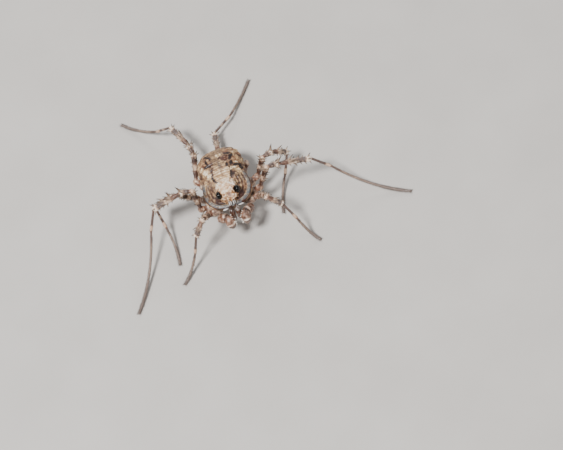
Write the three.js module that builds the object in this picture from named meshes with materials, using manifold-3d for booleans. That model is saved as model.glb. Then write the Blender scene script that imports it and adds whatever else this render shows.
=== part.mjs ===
// Harvestman, life size, standing still on its eight feet.
// Millimetres. +Z is up, the head looks along -Y and the animal's left side is +X. The floor is z = 0.

import * as THREE from 'three';
import { mergeVertices } from 'three/addons/utils/BufferGeometryUtils.js';
import Module from 'manifold-3d';

const wasm = await Module();
wasm.setup();

// Driving dimensions of the body
const eyeHeight = 4.75;        // middle of the eyes above the floor
const bodyPitch = 8;           // degrees that the head end is raised
const abdomenYaw = 2.6;        // degrees that the abdomen swings to the animal's left
const waistBack = 1.6;         // from the eyes back to the groove between the two body parts
const marginDrop = 1.12;       // from the eyes down to the widest line of the body
const eyeRadius = 0.38;
const eyeSpread = 0.84;        // from the midline to the middle of an eye
const gap = 0.2;               // clear space that neighbouring pieces keep
const eyeGap = 0.1;

// Stations along the body, measured back from the eyes: half width, top and bottom against the eyes
const bodyStations = [
  { back: -1.00, half: 0.00, top: -1.12, bottom: -1.25 },
  { back: -0.85, half: 1.10, top: -0.98, bottom: -1.60 },
  { back: -0.35, half: 1.90, top: -0.84, bottom: -2.05 },
  { back: 0.45, half: 2.32, top: -0.70, bottom: -2.40 },
  { back: 1.30, half: 2.36, top: -0.45, bottom: -2.50 },
  { back: 2.20, half: 2.24, top: -0.08, bottom: -2.45 },
  { back: 3.20, half: 2.26, top: 0.28, bottom: -2.35 },
  { back: 4.25, half: 2.28, top: 0.34, bottom: -2.20 },
  { back: 5.20, half: 2.06, top: 0.05, bottom: -1.95 },
  { back: 5.95, half: 1.42, top: -0.50, bottom: -1.60 },
  { back: 6.30, half: 0.00, top: -1.00, bottom: -1.12 },
];

// Rings round the abdomen where one back plate ends and the next begins
const plateEnds = [2.3, 3.0, 3.7, 4.4, 5.05, 5.6];
const plateStep = 0.08;
const plateWidth = 0.16;

// Coxa roots and trochanter centres, against the eyes, on the animal's left side
const coxae = {
  1: { root: [1.10, -0.05, -2.15], knob: [2.56, -0.15, -1.95] },
  2: { root: [1.15, 0.70, -2.30], knob: [3.02, 0.72, -1.90] },
  3: { root: [1.15, 1.45, -2.35], knob: [3.20, 2.15, -1.92] },
  4: { root: [1.15, 2.25, -2.35], knob: [2.58, 4.10, -1.85] },
};
const coxaRootRadius = 0.2;
const coxaRadius = 0.44;
const knobRadius = 0.34;

// Joint to joint lengths of the free leg segments
const legLengths = {
  1: { femur: 1.90, patella: 0.75, tibia: 1.75, metatarsus: 1.95, tarsus: 3.3 },
  2: { femur: 2.85, patella: 1.15, tibia: 3.25, metatarsus: 2.20, tarsus: 8.2 },
  3: { femur: 2.10, patella: 1.05, tibia: 2.00, metatarsus: 2.30, tarsus: 4.0 },
  4: { femur: 2.95, patella: 1.10, tibia: 2.80, metatarsus: 2.55, tarsus: 4.8 },
};

// Thickness of each leg segment: radius of its shaft at the near end, and of the bulb at its far joint
const legRadii = {
  femur: { shaft: 0.27, bulb: 0.31 },
  patella: { shaft: 0.26, bulb: 0.31 },
  tibia: { shaft: 0.27, bulb: 0.30 },
  metatarsus: { shaft: 0.25, bulb: 0.26 },
  tarsus: { shaft: 0.25, tip: 0.13 },
};

// Pose of each leg, in degrees: heading from straight ahead towards the leg's own side, then rise.
// A tarsus has its heading where it leaves the metatarsus and its heading at the tip.
const pose = {
  right: {
    1: { femur: [20, 52], patella: [35, 38], tibia: [60, -47], metatarsus: [45, -60], tarsus: [45, 50] },
    2: { femur: [165, 76], patella: [103, -5], tibia: [93, -24], metatarsus: [41, -46], tarsus: [22, 38] },
    3: { femur: [95, 52], patella: [100, -3], tibia: [98, -35], metatarsus: [-10, -46], tarsus: [-10, 10] },
    4: { femur: [194, 9], patella: [171, 8], tibia: [157, 4], metatarsus: [130, -41], tarsus: [130, 140] },
  },
  left: {
    1: { femur: [28, 50], patella: [20, 34], tibia: [64, -45], metatarsus: [30, -36], tarsus: [35, 40] },
    2: { femur: [104, 62], patella: [94, -18], tibia: [85, -14], metatarsus: [65, -39], tarsus: [50, 62] },
    3: { femur: [125, 50], patella: [105, -5], tibia: [100, -46], metatarsus: [-37, -48], tarsus: [-35, -10] },
    4: { femur: [235, -24], patella: [180, 20], tibia: [173, -8], metatarsus: [127, -9], tarsus: [138, 142] },
  },
};

// Spines in rings round each segment: share of its length, turn from its upper side, length and lean
// towards the far joint in degrees. A turn stands for both sides, except straight up and straight down.
const spineRows = {
  femur: [
    { share: 0.34, turn: 145, length: 0.30, lean: 20 },
    { share: 0.60, turn: 145, length: 0.32, lean: 20 },
    { share: 0.48, turn: 60, length: 0.26, lean: 25 },
    { share: 0.74, turn: 60, length: 0.30, lean: 25 },
    { share: 0.97, turn: 0, length: 0.85, lean: 12 },
    { share: 0.97, turn: 75, length: 0.34, lean: 20 },
  ],
  patella: [
    { share: 0.55, turn: 62, length: 0.28, lean: 20 },
    { share: 1.00, turn: 0, length: 1.00, lean: 10 },
    { share: 0.98, turn: 70, length: 0.34, lean: 20 },
  ],
  tibia: [
    { share: 0.32, turn: 25, length: 0.70, lean: 40 },
    { share: 0.45, turn: 140, length: 0.30, lean: 20 },
    { share: 0.70, turn: 140, length: 0.30, lean: 20 },
    { share: 0.62, turn: 65, length: 0.28, lean: 25 },
    { share: 0.98, turn: 45, length: 0.34, lean: 20 },
  ],
  metatarsus: [],
};
const spineRadius = 0.11;
const spineScale = { 1: 0.6, 2: 1, 3: 0.8, 4: 0.9 };
const spineScatter = 0.16;     // how much the lengths of the spines differ

const sides = { right: -1, left: 1 };

// Colours of the parts
const finishes = {
  shell: new THREE.MeshStandardMaterial({ color: 0x9c8468, roughness: 0.6, metalness: 0 }),
  mound: new THREE.MeshStandardMaterial({ color: 0xe0cdb2, roughness: 0.6, metalness: 0 }),
  eye: new THREE.MeshStandardMaterial({ color: 0x0b0908, roughness: 0.08, metalness: 0 }),
  mouthparts: new THREE.MeshStandardMaterial({ color: 0xa98673, roughness: 0.4, metalness: 0 }),
  jaws: new THREE.MeshStandardMaterial({ color: 0x9d9a96, roughness: 0.3, metalness: 0 }),
  coxa: new THREE.MeshStandardMaterial({ color: 0xa5816b, roughness: 0.5, metalness: 0 }),
  leg: new THREE.MeshStandardMaterial({ color: 0x7a6254, roughness: 0.5, metalness: 0 }),
  tarsus: new THREE.MeshStandardMaterial({ color: 0x8c8179, roughness: 0.7, metalness: 0 }),
};

const radians = THREE.MathUtils.degToRad;
const vector = (x, y, z) => new THREE.Vector3(x, y, z);

// Solids: a closed geometry becomes a manifold, and a manifold's largest closed surface a geometry
function solidOf(geometry) {
  const bare = geometry.clone();
  bare.deleteAttribute('normal');
  bare.deleteAttribute('uv');
  const merged = mergeVertices(bare, 1e-5);
  const corners = merged.attributes.position;
  const index = merged.index.array;
  const kept = [];
  let volume = 0;
  const [a, b, c] = [vector(), vector(), vector()];
  for (let i = 0; i < index.length; i += 3) {
    const [p, q, r] = [index[i], index[i + 1], index[i + 2]];
    if (p === q || q === r || r === p) continue;
    kept.push(p, q, r);
    a.fromBufferAttribute(corners, p);
    b.fromBufferAttribute(corners, q);
    c.fromBufferAttribute(corners, r);
    volume += a.dot(b.cross(c));
  }
  if (volume < 0) kept.reverse();
  return new wasm.Manifold(new wasm.Mesh({
    numProp: 3,
    vertProperties: new Float32Array(corners.array),
    triVerts: new Uint32Array(kept),
  }));
}

function geometryOf(solid) {
  const pieces = solid.decompose();
  const largest = pieces.reduce((best, piece) => (piece.volume() > best.volume() ? piece : best));
  const mesh = largest.getMesh();
  const geometry = new THREE.BufferGeometry();
  geometry.setAttribute('position', new THREE.BufferAttribute(mesh.vertProperties, 3));
  geometry.setIndex(new THREE.BufferAttribute(mesh.triVerts, 1));
  return geometry;
}

function boxSolid(low, high) {
  const box = new THREE.BoxGeometry(high.x - low.x, high.y - low.y, high.z - low.z);
  box.translate((low.x + high.x) / 2, (low.y + high.y) / 2, (low.z + high.z) / 2);
  return solidOf(box);
}

// Body: a sphere whose poles are the two ends, drawn out through the stations
function stationCurve(key) {
  return new THREE.SplineCurve(bodyStations.map((s) => new THREE.Vector2(s.back, s[key])));
}

function bodyGeometry(grow) {
  const around = 30;
  const along = 36;
  const [halfCurve, topCurve, bottomCurve] = ['half', 'top', 'bottom'].map(stationCurve);
  const geometry = new THREE.SphereGeometry(1, around, along);
  const corner = geometry.attributes.position;
  const middle = (bodyStations[0].back + bodyStations.at(-1).back) / 2;
  const reach = bodyStations.at(-1).back - middle;
  for (let i = 0; i < corner.count; i += 1) {
    const t = Math.acos(THREE.MathUtils.clamp(corner.getY(i), -1, 1)) / Math.PI;
    const turn = Math.atan2(corner.getZ(i), corner.getX(i));
    const pole = t < 1e-6 || t > 1 - 1e-6;
    const back = halfCurve.getPoint(t).x;
    const half = pole ? 0 : halfCurve.getPoint(t).y + grow;
    const top = topCurve.getPoint(t).y + grow - plateRelief(back);
    const bottom = bottomCurve.getPoint(t).y - grow;
    const rise = Math.sin(turn);
    const depth = rise > 0 ? top + marginDrop : -marginDrop - bottom;
    const tuck = Math.abs(Math.cos(turn)) ** (rise > 0 ? -0.18 : 0.6);
    const stretch = (back - middle) * (grow / reach);
    corner.setXYZ(
      i,
      half * Math.cos(turn) * tuck + midlineShift(back),
      back + stretch,
      -marginDrop + depth * rise * (pole ? 0 : 1),
    );
  }
  return geometry;
}

function plateRelief(back) {
  return plateEnds.reduce((sum, end) => sum + plateStep * Math.exp(-(((back - end) / plateWidth) ** 2)), 0);
}

function midlineShift(back) {
  return Math.max(0, back - waistBack) * Math.tan(radians(abdomenYaw));
}

// A lathed piece along +Y from its near joint to its far joint, with a bulb centred on the far joint
function segmentGeometry(length, start, shaft, bulb, facets) {
  const neck = Math.max(start + bulb * 0.4, length - bulb * 0.95);
  const shoulder = Math.min(0.09, (neck - start) * 0.3);
  const profile = [
    [0, start],
    [shaft * 0.8, start],
    [shaft, start + shoulder],
    [shaft * 0.97, start + (neck - start) * 0.5],
    [shaft * 0.9, neck],
    [bulb, length],
    [bulb * 0.8, length + bulb * 0.6],
    [0, length + bulb],
  ];
  return new THREE.LatheGeometry(profile.map(([r, y]) => new THREE.Vector2(r, y)), facets);
}

// A seeded draw from 0 to 1, alike on every run
let seed = 7;
function draw() {
  seed = (seed * 16807) % 2147483647;
  return seed / 2147483647;
}

// Tapered spines on a segment that lies along +Y with its upper side towards +Z, roots sunk in its wall
function spineSolids(part, length, shaft, scale) {
  const spines = [];
  for (const { share, turn, length: full, lean } of spineRows[part]) {
    const turns = turn === 0 || turn === 180 ? [turn] : [turn, -turn];
    for (const angle of turns) {
      const height = full * scale * (1 + spineScatter * (2 * draw() - 1));
      const base = spineRadius * Math.min(1, 0.6 + height / 2);
      const sunk = shaft * 0.6;
      const cone = new THREE.ConeGeometry(base, height + sunk, 5, 1);
      cone.translate(0, (height + sunk) / 2, 0);
      const out = vector(Math.sin(radians(angle)), 0, Math.cos(radians(angle)));
      const along = out.clone().multiplyScalar(Math.cos(radians(lean)));
      along.y = Math.sin(radians(lean));
      const root = out.clone().multiplyScalar(shaft * 0.4);
      root.y = share * length;
      const turned = new THREE.Quaternion().setFromUnitVectors(vector(0, 1, 0), along.normalize());
      spines.push(solidOf(cone.applyMatrix4(new THREE.Matrix4().compose(root, turned, vector(1, 1, 1)))));
    }
  }
  return spines;
}

function headingVector(side, heading, rise) {
  const flat = Math.cos(radians(rise));
  return vector(
    sides[side] * Math.sin(radians(heading)) * flat,
    -Math.cos(radians(heading)) * flat,
    Math.sin(radians(rise)),
  );
}

// Turns +Y to the given direction and keeps +Z as near to straight up as it can
function turnTo(direction) {
  const across = vector().crossVectors(direction, vector(0, 0, 1));
  if (across.length() < 1e-3) across.set(1, 0, 0);
  across.normalize();
  const dorsal = vector().crossVectors(across, direction).normalize();
  const basis = new THREE.Matrix4().makeBasis(across, direction, dorsal);
  return new THREE.Quaternion().setFromRotationMatrix(basis);
}

// A lathe bent so that its axis follows a curve, with its radius set by the share of the way along
function bentTube(curve, radiusAt, facets, steps) {
  const profile = [new THREE.Vector2(0, 0)];
  for (let i = 0; i <= steps; i += 1) profile.push(new THREE.Vector2(radiusAt(i / steps), i / steps));
  profile.push(new THREE.Vector2(0, 1));
  const geometry = new THREE.LatheGeometry(profile, facets);
  const frames = curve.computeFrenetFrames(steps, false);
  const corner = geometry.attributes.position;
  for (let i = 0; i < corner.count; i += 1) {
    const step = Math.round(corner.getY(i) * steps);
    const point = curve.getPointAt(step / steps)
      .addScaledVector(frames.normals[step], corner.getX(i))
      .addScaledVector(frames.binormals[step], corner.getZ(i));
    corner.setXYZ(i, point.x, point.y, point.z);
  }
  return geometry;
}

function namedMesh(name, solid, finish) {
  const mesh = new THREE.Mesh(geometryOf(solid), finishes[finish].clone());
  mesh.name = name;
  return mesh;
}

// Everything of the trunk is made against the eyes and then raised and pitched with this group
const trunk = new THREE.Group();
trunk.position.z = eyeHeight;
trunk.rotation.x = -radians(bodyPitch);
trunk.updateMatrixWorld(true);

// Coxa and trochanter of one leg, as one piece, with room round it when it cuts its socket
function coxaSolid(side, number, grow) {
  const { root, knob } = coxae[number];
  const start = vector(...root).multiply(vector(sides[side], 1, 1));
  const end = vector(...knob).multiply(vector(sides[side], 1, 1));
  const length = start.distanceTo(end);
  const profile = [
    [0, -grow],
    [coxaRootRadius + grow, -grow],
    [coxaRadius * 0.8 + grow, length * 0.4],
    [coxaRadius + grow, length - knobRadius * 1.9],
    [coxaRadius * 0.85 + grow, length - knobRadius * 1.1],
    [knobRadius * 0.8 + grow, length - knobRadius * 0.7],
    [knobRadius + grow, length - knobRadius * 0.1],
    [knobRadius * 0.85 + grow, length + knobRadius * 0.55],
    [0, length + knobRadius + grow],
  ];
  const lathe = new THREE.LatheGeometry(profile.map(([r, y]) => new THREE.Vector2(r, y)), 12);
  const placed = new THREE.Matrix4().compose(
    start,
    turnTo(vector().subVectors(end, start).normalize()),
    vector(1, 1, 1),
  );
  return solidOf(lathe.applyMatrix4(placed));
}

// Mouthparts: a palp of two pieces and a jaw on each side, against the eyes, on the left
const palpPath = [
  [1.45, -0.85, -2.15], [1.5, -1.3, -1.9], [1.22, -1.62, -1.52], [0.98, -1.95, -1.42],
  [0.86, -2.25, -1.75], [0.78, -2.2, -2.35], [0.62, -1.8, -2.85],
];
const palpSplit = 0.42;        // share of the palp's length at the knee between its two pieces
const jawPath = [
  [0.3, -0.85, -1.35], [0.3, -1.25, -1.3], [0.3, -1.5, -1.6], [0.27, -1.45, -2.3], [0.2, -1.3, -2.75],
];

function mirroredCurve(points, side) {
  return new THREE.CatmullRomCurve3(points.map(([x, y, z]) => vector(x * sides[side], y, z)));
}

// The stretch of a curve between two shares of its length, as a curve of its own
function stretchOf(curve, from, to, steps) {
  const points = [];
  for (let i = 0; i <= steps; i += 1) {
    points.push(curve.getPointAt(THREE.MathUtils.lerp(from, to, i / steps)));
  }
  return new THREE.CatmullRomCurve3(points);
}

function palpRadius(share) {
  return 0.18 + 0.34 * Math.sin(Math.PI * (0.14 + 0.82 * share)) ** 0.8;
}

function palpSolid(side, from, to, grow) {
  const curve = mirroredCurve(palpPath, side);
  const steps = 8;
  const swell = (t) => palpRadius(THREE.MathUtils.lerp(from, to, t)) + grow;
  return solidOf(bentTube(stretchOf(curve, from, to, steps), swell, 12, steps));
}

function jawSolid(side) {
  const swell = (t) => 0.09 + 0.12 * Math.sin(Math.PI * (0.12 + 0.8 * t));
  return solidOf(bentTube(mirroredCurve(jawPath, side), swell, 10, 10));
}

// Eye mound: a low trapezoid dome, broadest between the eyes, that leans back into the body
function moundSolid() {
  const geometry = new THREE.SphereGeometry(1, 20, 14);
  const corner = geometry.attributes.position;
  for (let i = 0; i < corner.count; i += 1) {
    const [x, y, z] = [corner.getX(i), corner.getY(i), corner.getZ(i)];
    const square = (value) => Math.sign(value) * Math.abs(value) ** 0.75;
    const width = 0.92 - 0.1 * y;
    corner.setXYZ(i, square(x) * width, 0.32 + square(y) * 1.04, -0.5 + square(z) * 0.92);
  }
  return solidOf(geometry);
}

function eyeSolid(side, grow) {
  const ball = new THREE.SphereGeometry(eyeRadius + grow, 14, 10);
  ball.translate(sides[side] * eyeSpread, 0, 0);
  return solidOf(ball);
}

const far = 40;
const wholeBody = solidOf(bodyGeometry(0));
const grownBody = solidOf(bodyGeometry(gap));
const sockets = [];
for (const side of Object.keys(sides)) {
  for (const number of Object.keys(coxae)) sockets.push(coxaSolid(side, number, gap));
}
const frontHalf = boxSolid(vector(-far, -far, -far), vector(far, waistBack - gap / 2, far));
const rearHalf = boxSolid(vector(-far, waistBack + gap / 2, -far), vector(far, far, far));
const socketed = sockets.reduce((body, socket) => body.subtract(socket), wholeBody);

trunk.add(namedMesh('prosoma', socketed.intersect(frontHalf), 'shell'));
trunk.add(namedMesh('opisthosoma', socketed.intersect(rearHalf), 'shell'));

let mound = moundSolid().subtract(grownBody);
for (const side of Object.keys(sides)) {
  mound = mound.subtract(eyeSolid(side, eyeGap));
  trunk.add(namedMesh(`eye_${side}`, eyeSolid(side, 0).subtract(grownBody), 'eye'));
}
trunk.add(namedMesh('ocularium', mound, 'mound'));

for (const side of Object.keys(sides)) {
  const jaw = jawSolid(side).subtract(grownBody);
  const clearOfCoxa = coxaSolid(side, 1, gap);
  trunk.add(namedMesh(`chelicera_${side}`, jaw, 'jaws'));
  const upper = palpSolid(side, 0, palpSplit, 0).subtract(grownBody).subtract(clearOfCoxa);
  const clearOfUpper = palpSolid(side, 0, palpSplit, gap);
  const lower = palpSolid(side, palpSplit, 1, 0).subtract(grownBody).subtract(clearOfUpper);
  trunk.add(namedMesh(`pedipalp_${side}_femur`, upper, 'mouthparts'));
  trunk.add(namedMesh(`pedipalp_${side}_tarsus`, lower, 'mouthparts'));
  for (const number of Object.keys(coxae)) {
    trunk.add(namedMesh(`leg_${side}_${number}_coxa`, coxaSolid(side, number, 0), 'coxa'));
  }
}

// Free legs: each segment starts clear of the bulb that it hangs on and ends in a bulb of its own
const belowFloor = boxSolid(vector(-far, -far, -far), vector(far, far, 0));
const footDrop = 0.55;         // share of the tip's radius that the tip's axis keeps above the floor
const landingCurve = 1.9;      // how soon a tarsus flattens out along the floor

function tarsusCurve(side, start, [firstHeading, lastHeading], length) {
  const end = legRadii.tarsus.tip * footDrop;
  const fall = start.z - end;
  const reach = Math.sqrt(length ** 2 - fall ** 2);
  const steps = 12;
  const points = [start.clone()];
  const spot = start.clone();
  for (let i = 1; i <= steps; i += 1) {
    const heading = THREE.MathUtils.lerp(firstHeading, lastHeading, (i - 0.5) / steps);
    spot.addScaledVector(headingVector(side, heading, 0), reach / steps);
    points.push(vector(spot.x, spot.y, end + fall * (1 - i / steps) ** landingCurve));
  }
  return new THREE.CatmullRomCurve3(points);
}

function tarsusSolid(side, joint, headings, length) {
  const { shaft, tip } = legRadii.tarsus;
  const whole = tarsusCurve(side, joint, headings, length);
  const clear = legRadii.metatarsus.bulb + gap;
  const steps = Math.round(length * 2.2);
  const swell = (t) => THREE.MathUtils.lerp(shaft, tip, t);
  const tube = bentTube(stretchOf(whole, clear / length, 1, steps), swell, 8, steps);
  return solidOf(tube).subtract(belowFloor);
}

function addLeg(group, side, number) {
  const angles = pose[side][number];
  const lengths = legLengths[number];
  const joint = vector(...coxae[number].knob).multiply(vector(sides[side], 1, 1));
  joint.applyMatrix4(trunk.matrixWorld);
  let clear = knobRadius + gap;
  for (const part of ['femur', 'patella', 'tibia', 'metatarsus']) {
    const { shaft, bulb } = legRadii[part];
    const direction = headingVector(side, ...angles[part]);
    const facets = part === 'metatarsus' ? 8 : 10;
    const bare = solidOf(segmentGeometry(lengths[part], clear, shaft, bulb, facets));
    const spines = spineSolids(part, lengths[part], shaft, spineScale[number]);
    const spined = wasm.Manifold.union([bare, ...spines]);
    const mesh = namedMesh(`leg_${side}_${number}_${part}`, spined, 'leg');
    mesh.position.copy(joint);
    mesh.quaternion.copy(turnTo(direction));
    group.add(mesh);
    joint.addScaledVector(direction, lengths[part]);
    clear = bulb + gap;
  }
  const foot = tarsusSolid(side, joint, angles.tarsus, lengths.tarsus);
  group.add(namedMesh(`leg_${side}_${number}_tarsus`, foot, 'tarsus'));
}

const animal = new THREE.Group();
animal.add(trunk);
for (const side of Object.keys(sides)) {
  for (const number of Object.keys(coxae)) addLeg(animal, side, number);
}

// The part's origin is the middle of the floor under its box
const harvestman = new THREE.Group();
harvestman.add(animal);
harvestman.updateMatrixWorld(true);
const extent = new THREE.Box3().setFromObject(harvestman, true);
animal.position.set(-(extent.min.x + extent.max.x) / 2, -(extent.min.y + extent.max.y) / 2, -extent.min.z);

export default harvestman;
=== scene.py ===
"""A life-size harvestman for a museum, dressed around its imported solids.

Sizes are millimetres. Points on the trunk are measured from the middle of the eyes: x to the animal's
left, y back and z up, before the trunk is pitched. A finished mesh is in metres, in the frame's place.
"""
import logging
import math
from collections.abc import Callable
from dataclasses import dataclass, field
from enum import Enum
from random import Random

import bmesh
import bpy
import numpy as np
from mathutils import Matrix, Vector, noise


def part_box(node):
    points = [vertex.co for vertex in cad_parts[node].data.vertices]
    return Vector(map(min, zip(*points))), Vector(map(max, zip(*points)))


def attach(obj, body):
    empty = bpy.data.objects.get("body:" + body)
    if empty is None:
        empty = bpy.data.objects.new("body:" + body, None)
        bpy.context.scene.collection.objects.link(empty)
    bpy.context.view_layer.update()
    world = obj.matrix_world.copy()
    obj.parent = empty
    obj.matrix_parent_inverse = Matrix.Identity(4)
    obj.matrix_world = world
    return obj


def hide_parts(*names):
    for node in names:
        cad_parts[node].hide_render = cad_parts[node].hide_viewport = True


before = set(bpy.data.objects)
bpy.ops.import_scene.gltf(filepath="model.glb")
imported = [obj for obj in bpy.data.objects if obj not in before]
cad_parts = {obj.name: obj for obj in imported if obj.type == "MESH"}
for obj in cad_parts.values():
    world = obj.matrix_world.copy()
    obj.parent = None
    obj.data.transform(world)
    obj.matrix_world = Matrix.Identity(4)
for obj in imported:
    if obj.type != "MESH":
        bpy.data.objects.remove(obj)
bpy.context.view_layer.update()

MM = 0.001
MARK_NAMES = ("tone", "tint", "cool", "gloss")
LOG = logging.getLogger("harvestman")

Stops = tuple[tuple[float, float], ...]
Tones = tuple[tuple[float, str], ...]
Marks = dict[str, list[float]]
Place = Callable[[float, float], Vector]
MarkRow = tuple[float, ...]


class Side(Enum):
    """The two sides of the animal, with the sign of their x."""

    RIGHT = -1
    LEFT = 1

    @property
    def word(self) -> str:
        """Name the side as the frame's nodes do."""
        return self.name.lower()


class Part(Enum):
    """The lengths of a leg, from the body out."""

    COXA = 0
    FEMUR = 1
    PATELLA = 2
    TIBIA = 3
    METATARSUS = 4
    TARSUS = 5

    @property
    def word(self) -> str:
        """Name the part as the frame's nodes do."""
        return self.name.lower()


def shade(code: str) -> tuple[float, float, float, float]:
    """Turn a screen colour into the shader's linear one.

    Args:
        code: Six hexadecimal digits, red, green and blue.

    Returns:
        The linear colour with full alpha.
    """
    channels = [int(code[i : i + 2], 16) / 255 for i in (0, 2, 4)]
    linear = [c / 12.92 if c <= 0.04045 else ((c + 0.055) / 1.055) ** 2.4 for c in channels]
    return (*linear, 1.0)


def ease(value: float, low: float, high: float) -> float:
    """Rise smoothly from 0 at low to 1 at high.

    Args:
        value: Where to read the rise.
        low: Where the rise starts.
        high: Where it ends, which may be below low.

    Returns:
        A share from 0 to 1.
    """
    share = max(0.0, min(1.0, (value - low) / (high - low)))
    return share * share * (3 - 2 * share)


def hump(value: float, middle: float, width: float) -> float:
    """Give a bell of height 1 round a middle.

    Args:
        value: Where to read the bell.
        middle: Where it is highest.
        width: How far from the middle it has fallen to about a third.

    Returns:
        A share from 0 to 1.
    """
    return math.exp(-(((value - middle) / width) ** 2))


def cloud(x: float, y: float, z: float, scale: float, octaves: int = 3) -> float:
    """Read soft random blotches in space.

    Args:
        x: First coordinate.
        y: Second coordinate.
        z: Third coordinate.
        scale: Blotches in each unit of length.
        octaves: How many finer layers are added.

    Returns:
        A value from about -1 to 1.
    """
    return noise.fractal(Vector((x, y, z)) * scale, 0.7, 2.1, octaves)


def pebble(x: float, y: float, z: float, scale: float) -> float:
    """Read rounded granules set close together.

    Args:
        x: First coordinate.
        y: Second coordinate.
        z: Third coordinate.
        scale: Granules in each unit of length.

    Returns:
        1 on top of a granule, and 0 between granules.
    """
    nearest = noise.voronoi(Vector((x, y, z)) * scale)[0][0]
    return max(0.0, 1 - (nearest / 0.62) ** 2)


def gathered(rows: list[MarkRow]) -> Marks:
    """Sort the marks of all vertices by the mark's name.

    Args:
        rows: The tone, tint, cool and gloss of each vertex.

    Returns:
        The values of each mark.
    """
    return {name: list(column) for name, column in zip(MARK_NAMES, zip(*rows))}


@dataclass(frozen=True)
class CuticleFinish:
    """The finish of a hard skin, whose markings come with the mesh as attributes.

    Attributes:
        name: The material's name.
        tones: Colours from the darkest mark to the palest.
        tint: A warm colour that the mark "tint" brings in.
        cool: A cool colour that the mark "cool" brings in.
        grain: Grains in a metre.
        contrast: How far the grain shifts the tone.
        rough: Roughness where the surface is dull.
        sheen: Roughness where the mark "gloss" is full.
        coat: Weight of the clear coat.
        depth: Height of the grain in metres.
    """

    name: str
    tones: Tones
    tint: str
    cool: str
    grain: float = 9000.0
    contrast: float = 0.3
    rough: float = 0.5
    sheen: float = 0.22
    coat: float = 0.1
    depth: float = 0.00003

    def material(self) -> bpy.types.Material:
        """Build the material once and give it back each time."""
        made = bpy.data.materials.get(self.name)
        return made if made else self._build()

    def _build(self) -> bpy.types.Material:
        """Wire the marks, the grain and the surface.

        Returns:
            The new material.
        """
        sheet = Wiring.new(self.name)
        grain = sheet.group(grain_group(), {"Scale": self.grain})
        sheet.join(sheet.node("ShaderNodeTexCoord"), "Object", grain, "Place")
        tone = sheet.mark("tone")
        shift = sheet.maths("MULTIPLY_ADD", (grain, "Mask"), self.contrast, -self.contrast / 2)
        shifted = sheet.maths("ADD", (tone, "Fac"), (shift, "Value"))
        ramp = sheet.ramp((shifted, "Value"), self.tones)
        warm = sheet.mix((ramp, "Color"), shade(self.tint), (sheet.mark("tint"), "Fac"))
        cold = sheet.mix((warm, "Result"), shade(self.cool), (sheet.mark("cool"), "Fac"))
        gloss = sheet.mark("gloss")
        dull = sheet.maths("MULTIPLY_ADD", (gloss, "Fac"), self.sheen - self.rough, self.rough)
        patchy = sheet.maths("MULTIPLY_ADD", (grain, "Mask"), 0.16, (dull, "Value"))
        bump = sheet.node("ShaderNodeBump", Strength=0.7, Distance=self.depth)
        sheet.join(grain, "Height", bump, "Height")
        skin = sheet.surface
        skin.inputs["Coat Weight"].default_value = self.coat
        skin.inputs["Coat Roughness"].default_value = 0.2
        sheet.join(cold, "Result", skin, "Base Color")
        sheet.join(patchy, "Value", skin, "Roughness")
        sheet.join(bump, "Normal", skin, "Normal")
        return sheet.material


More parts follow.
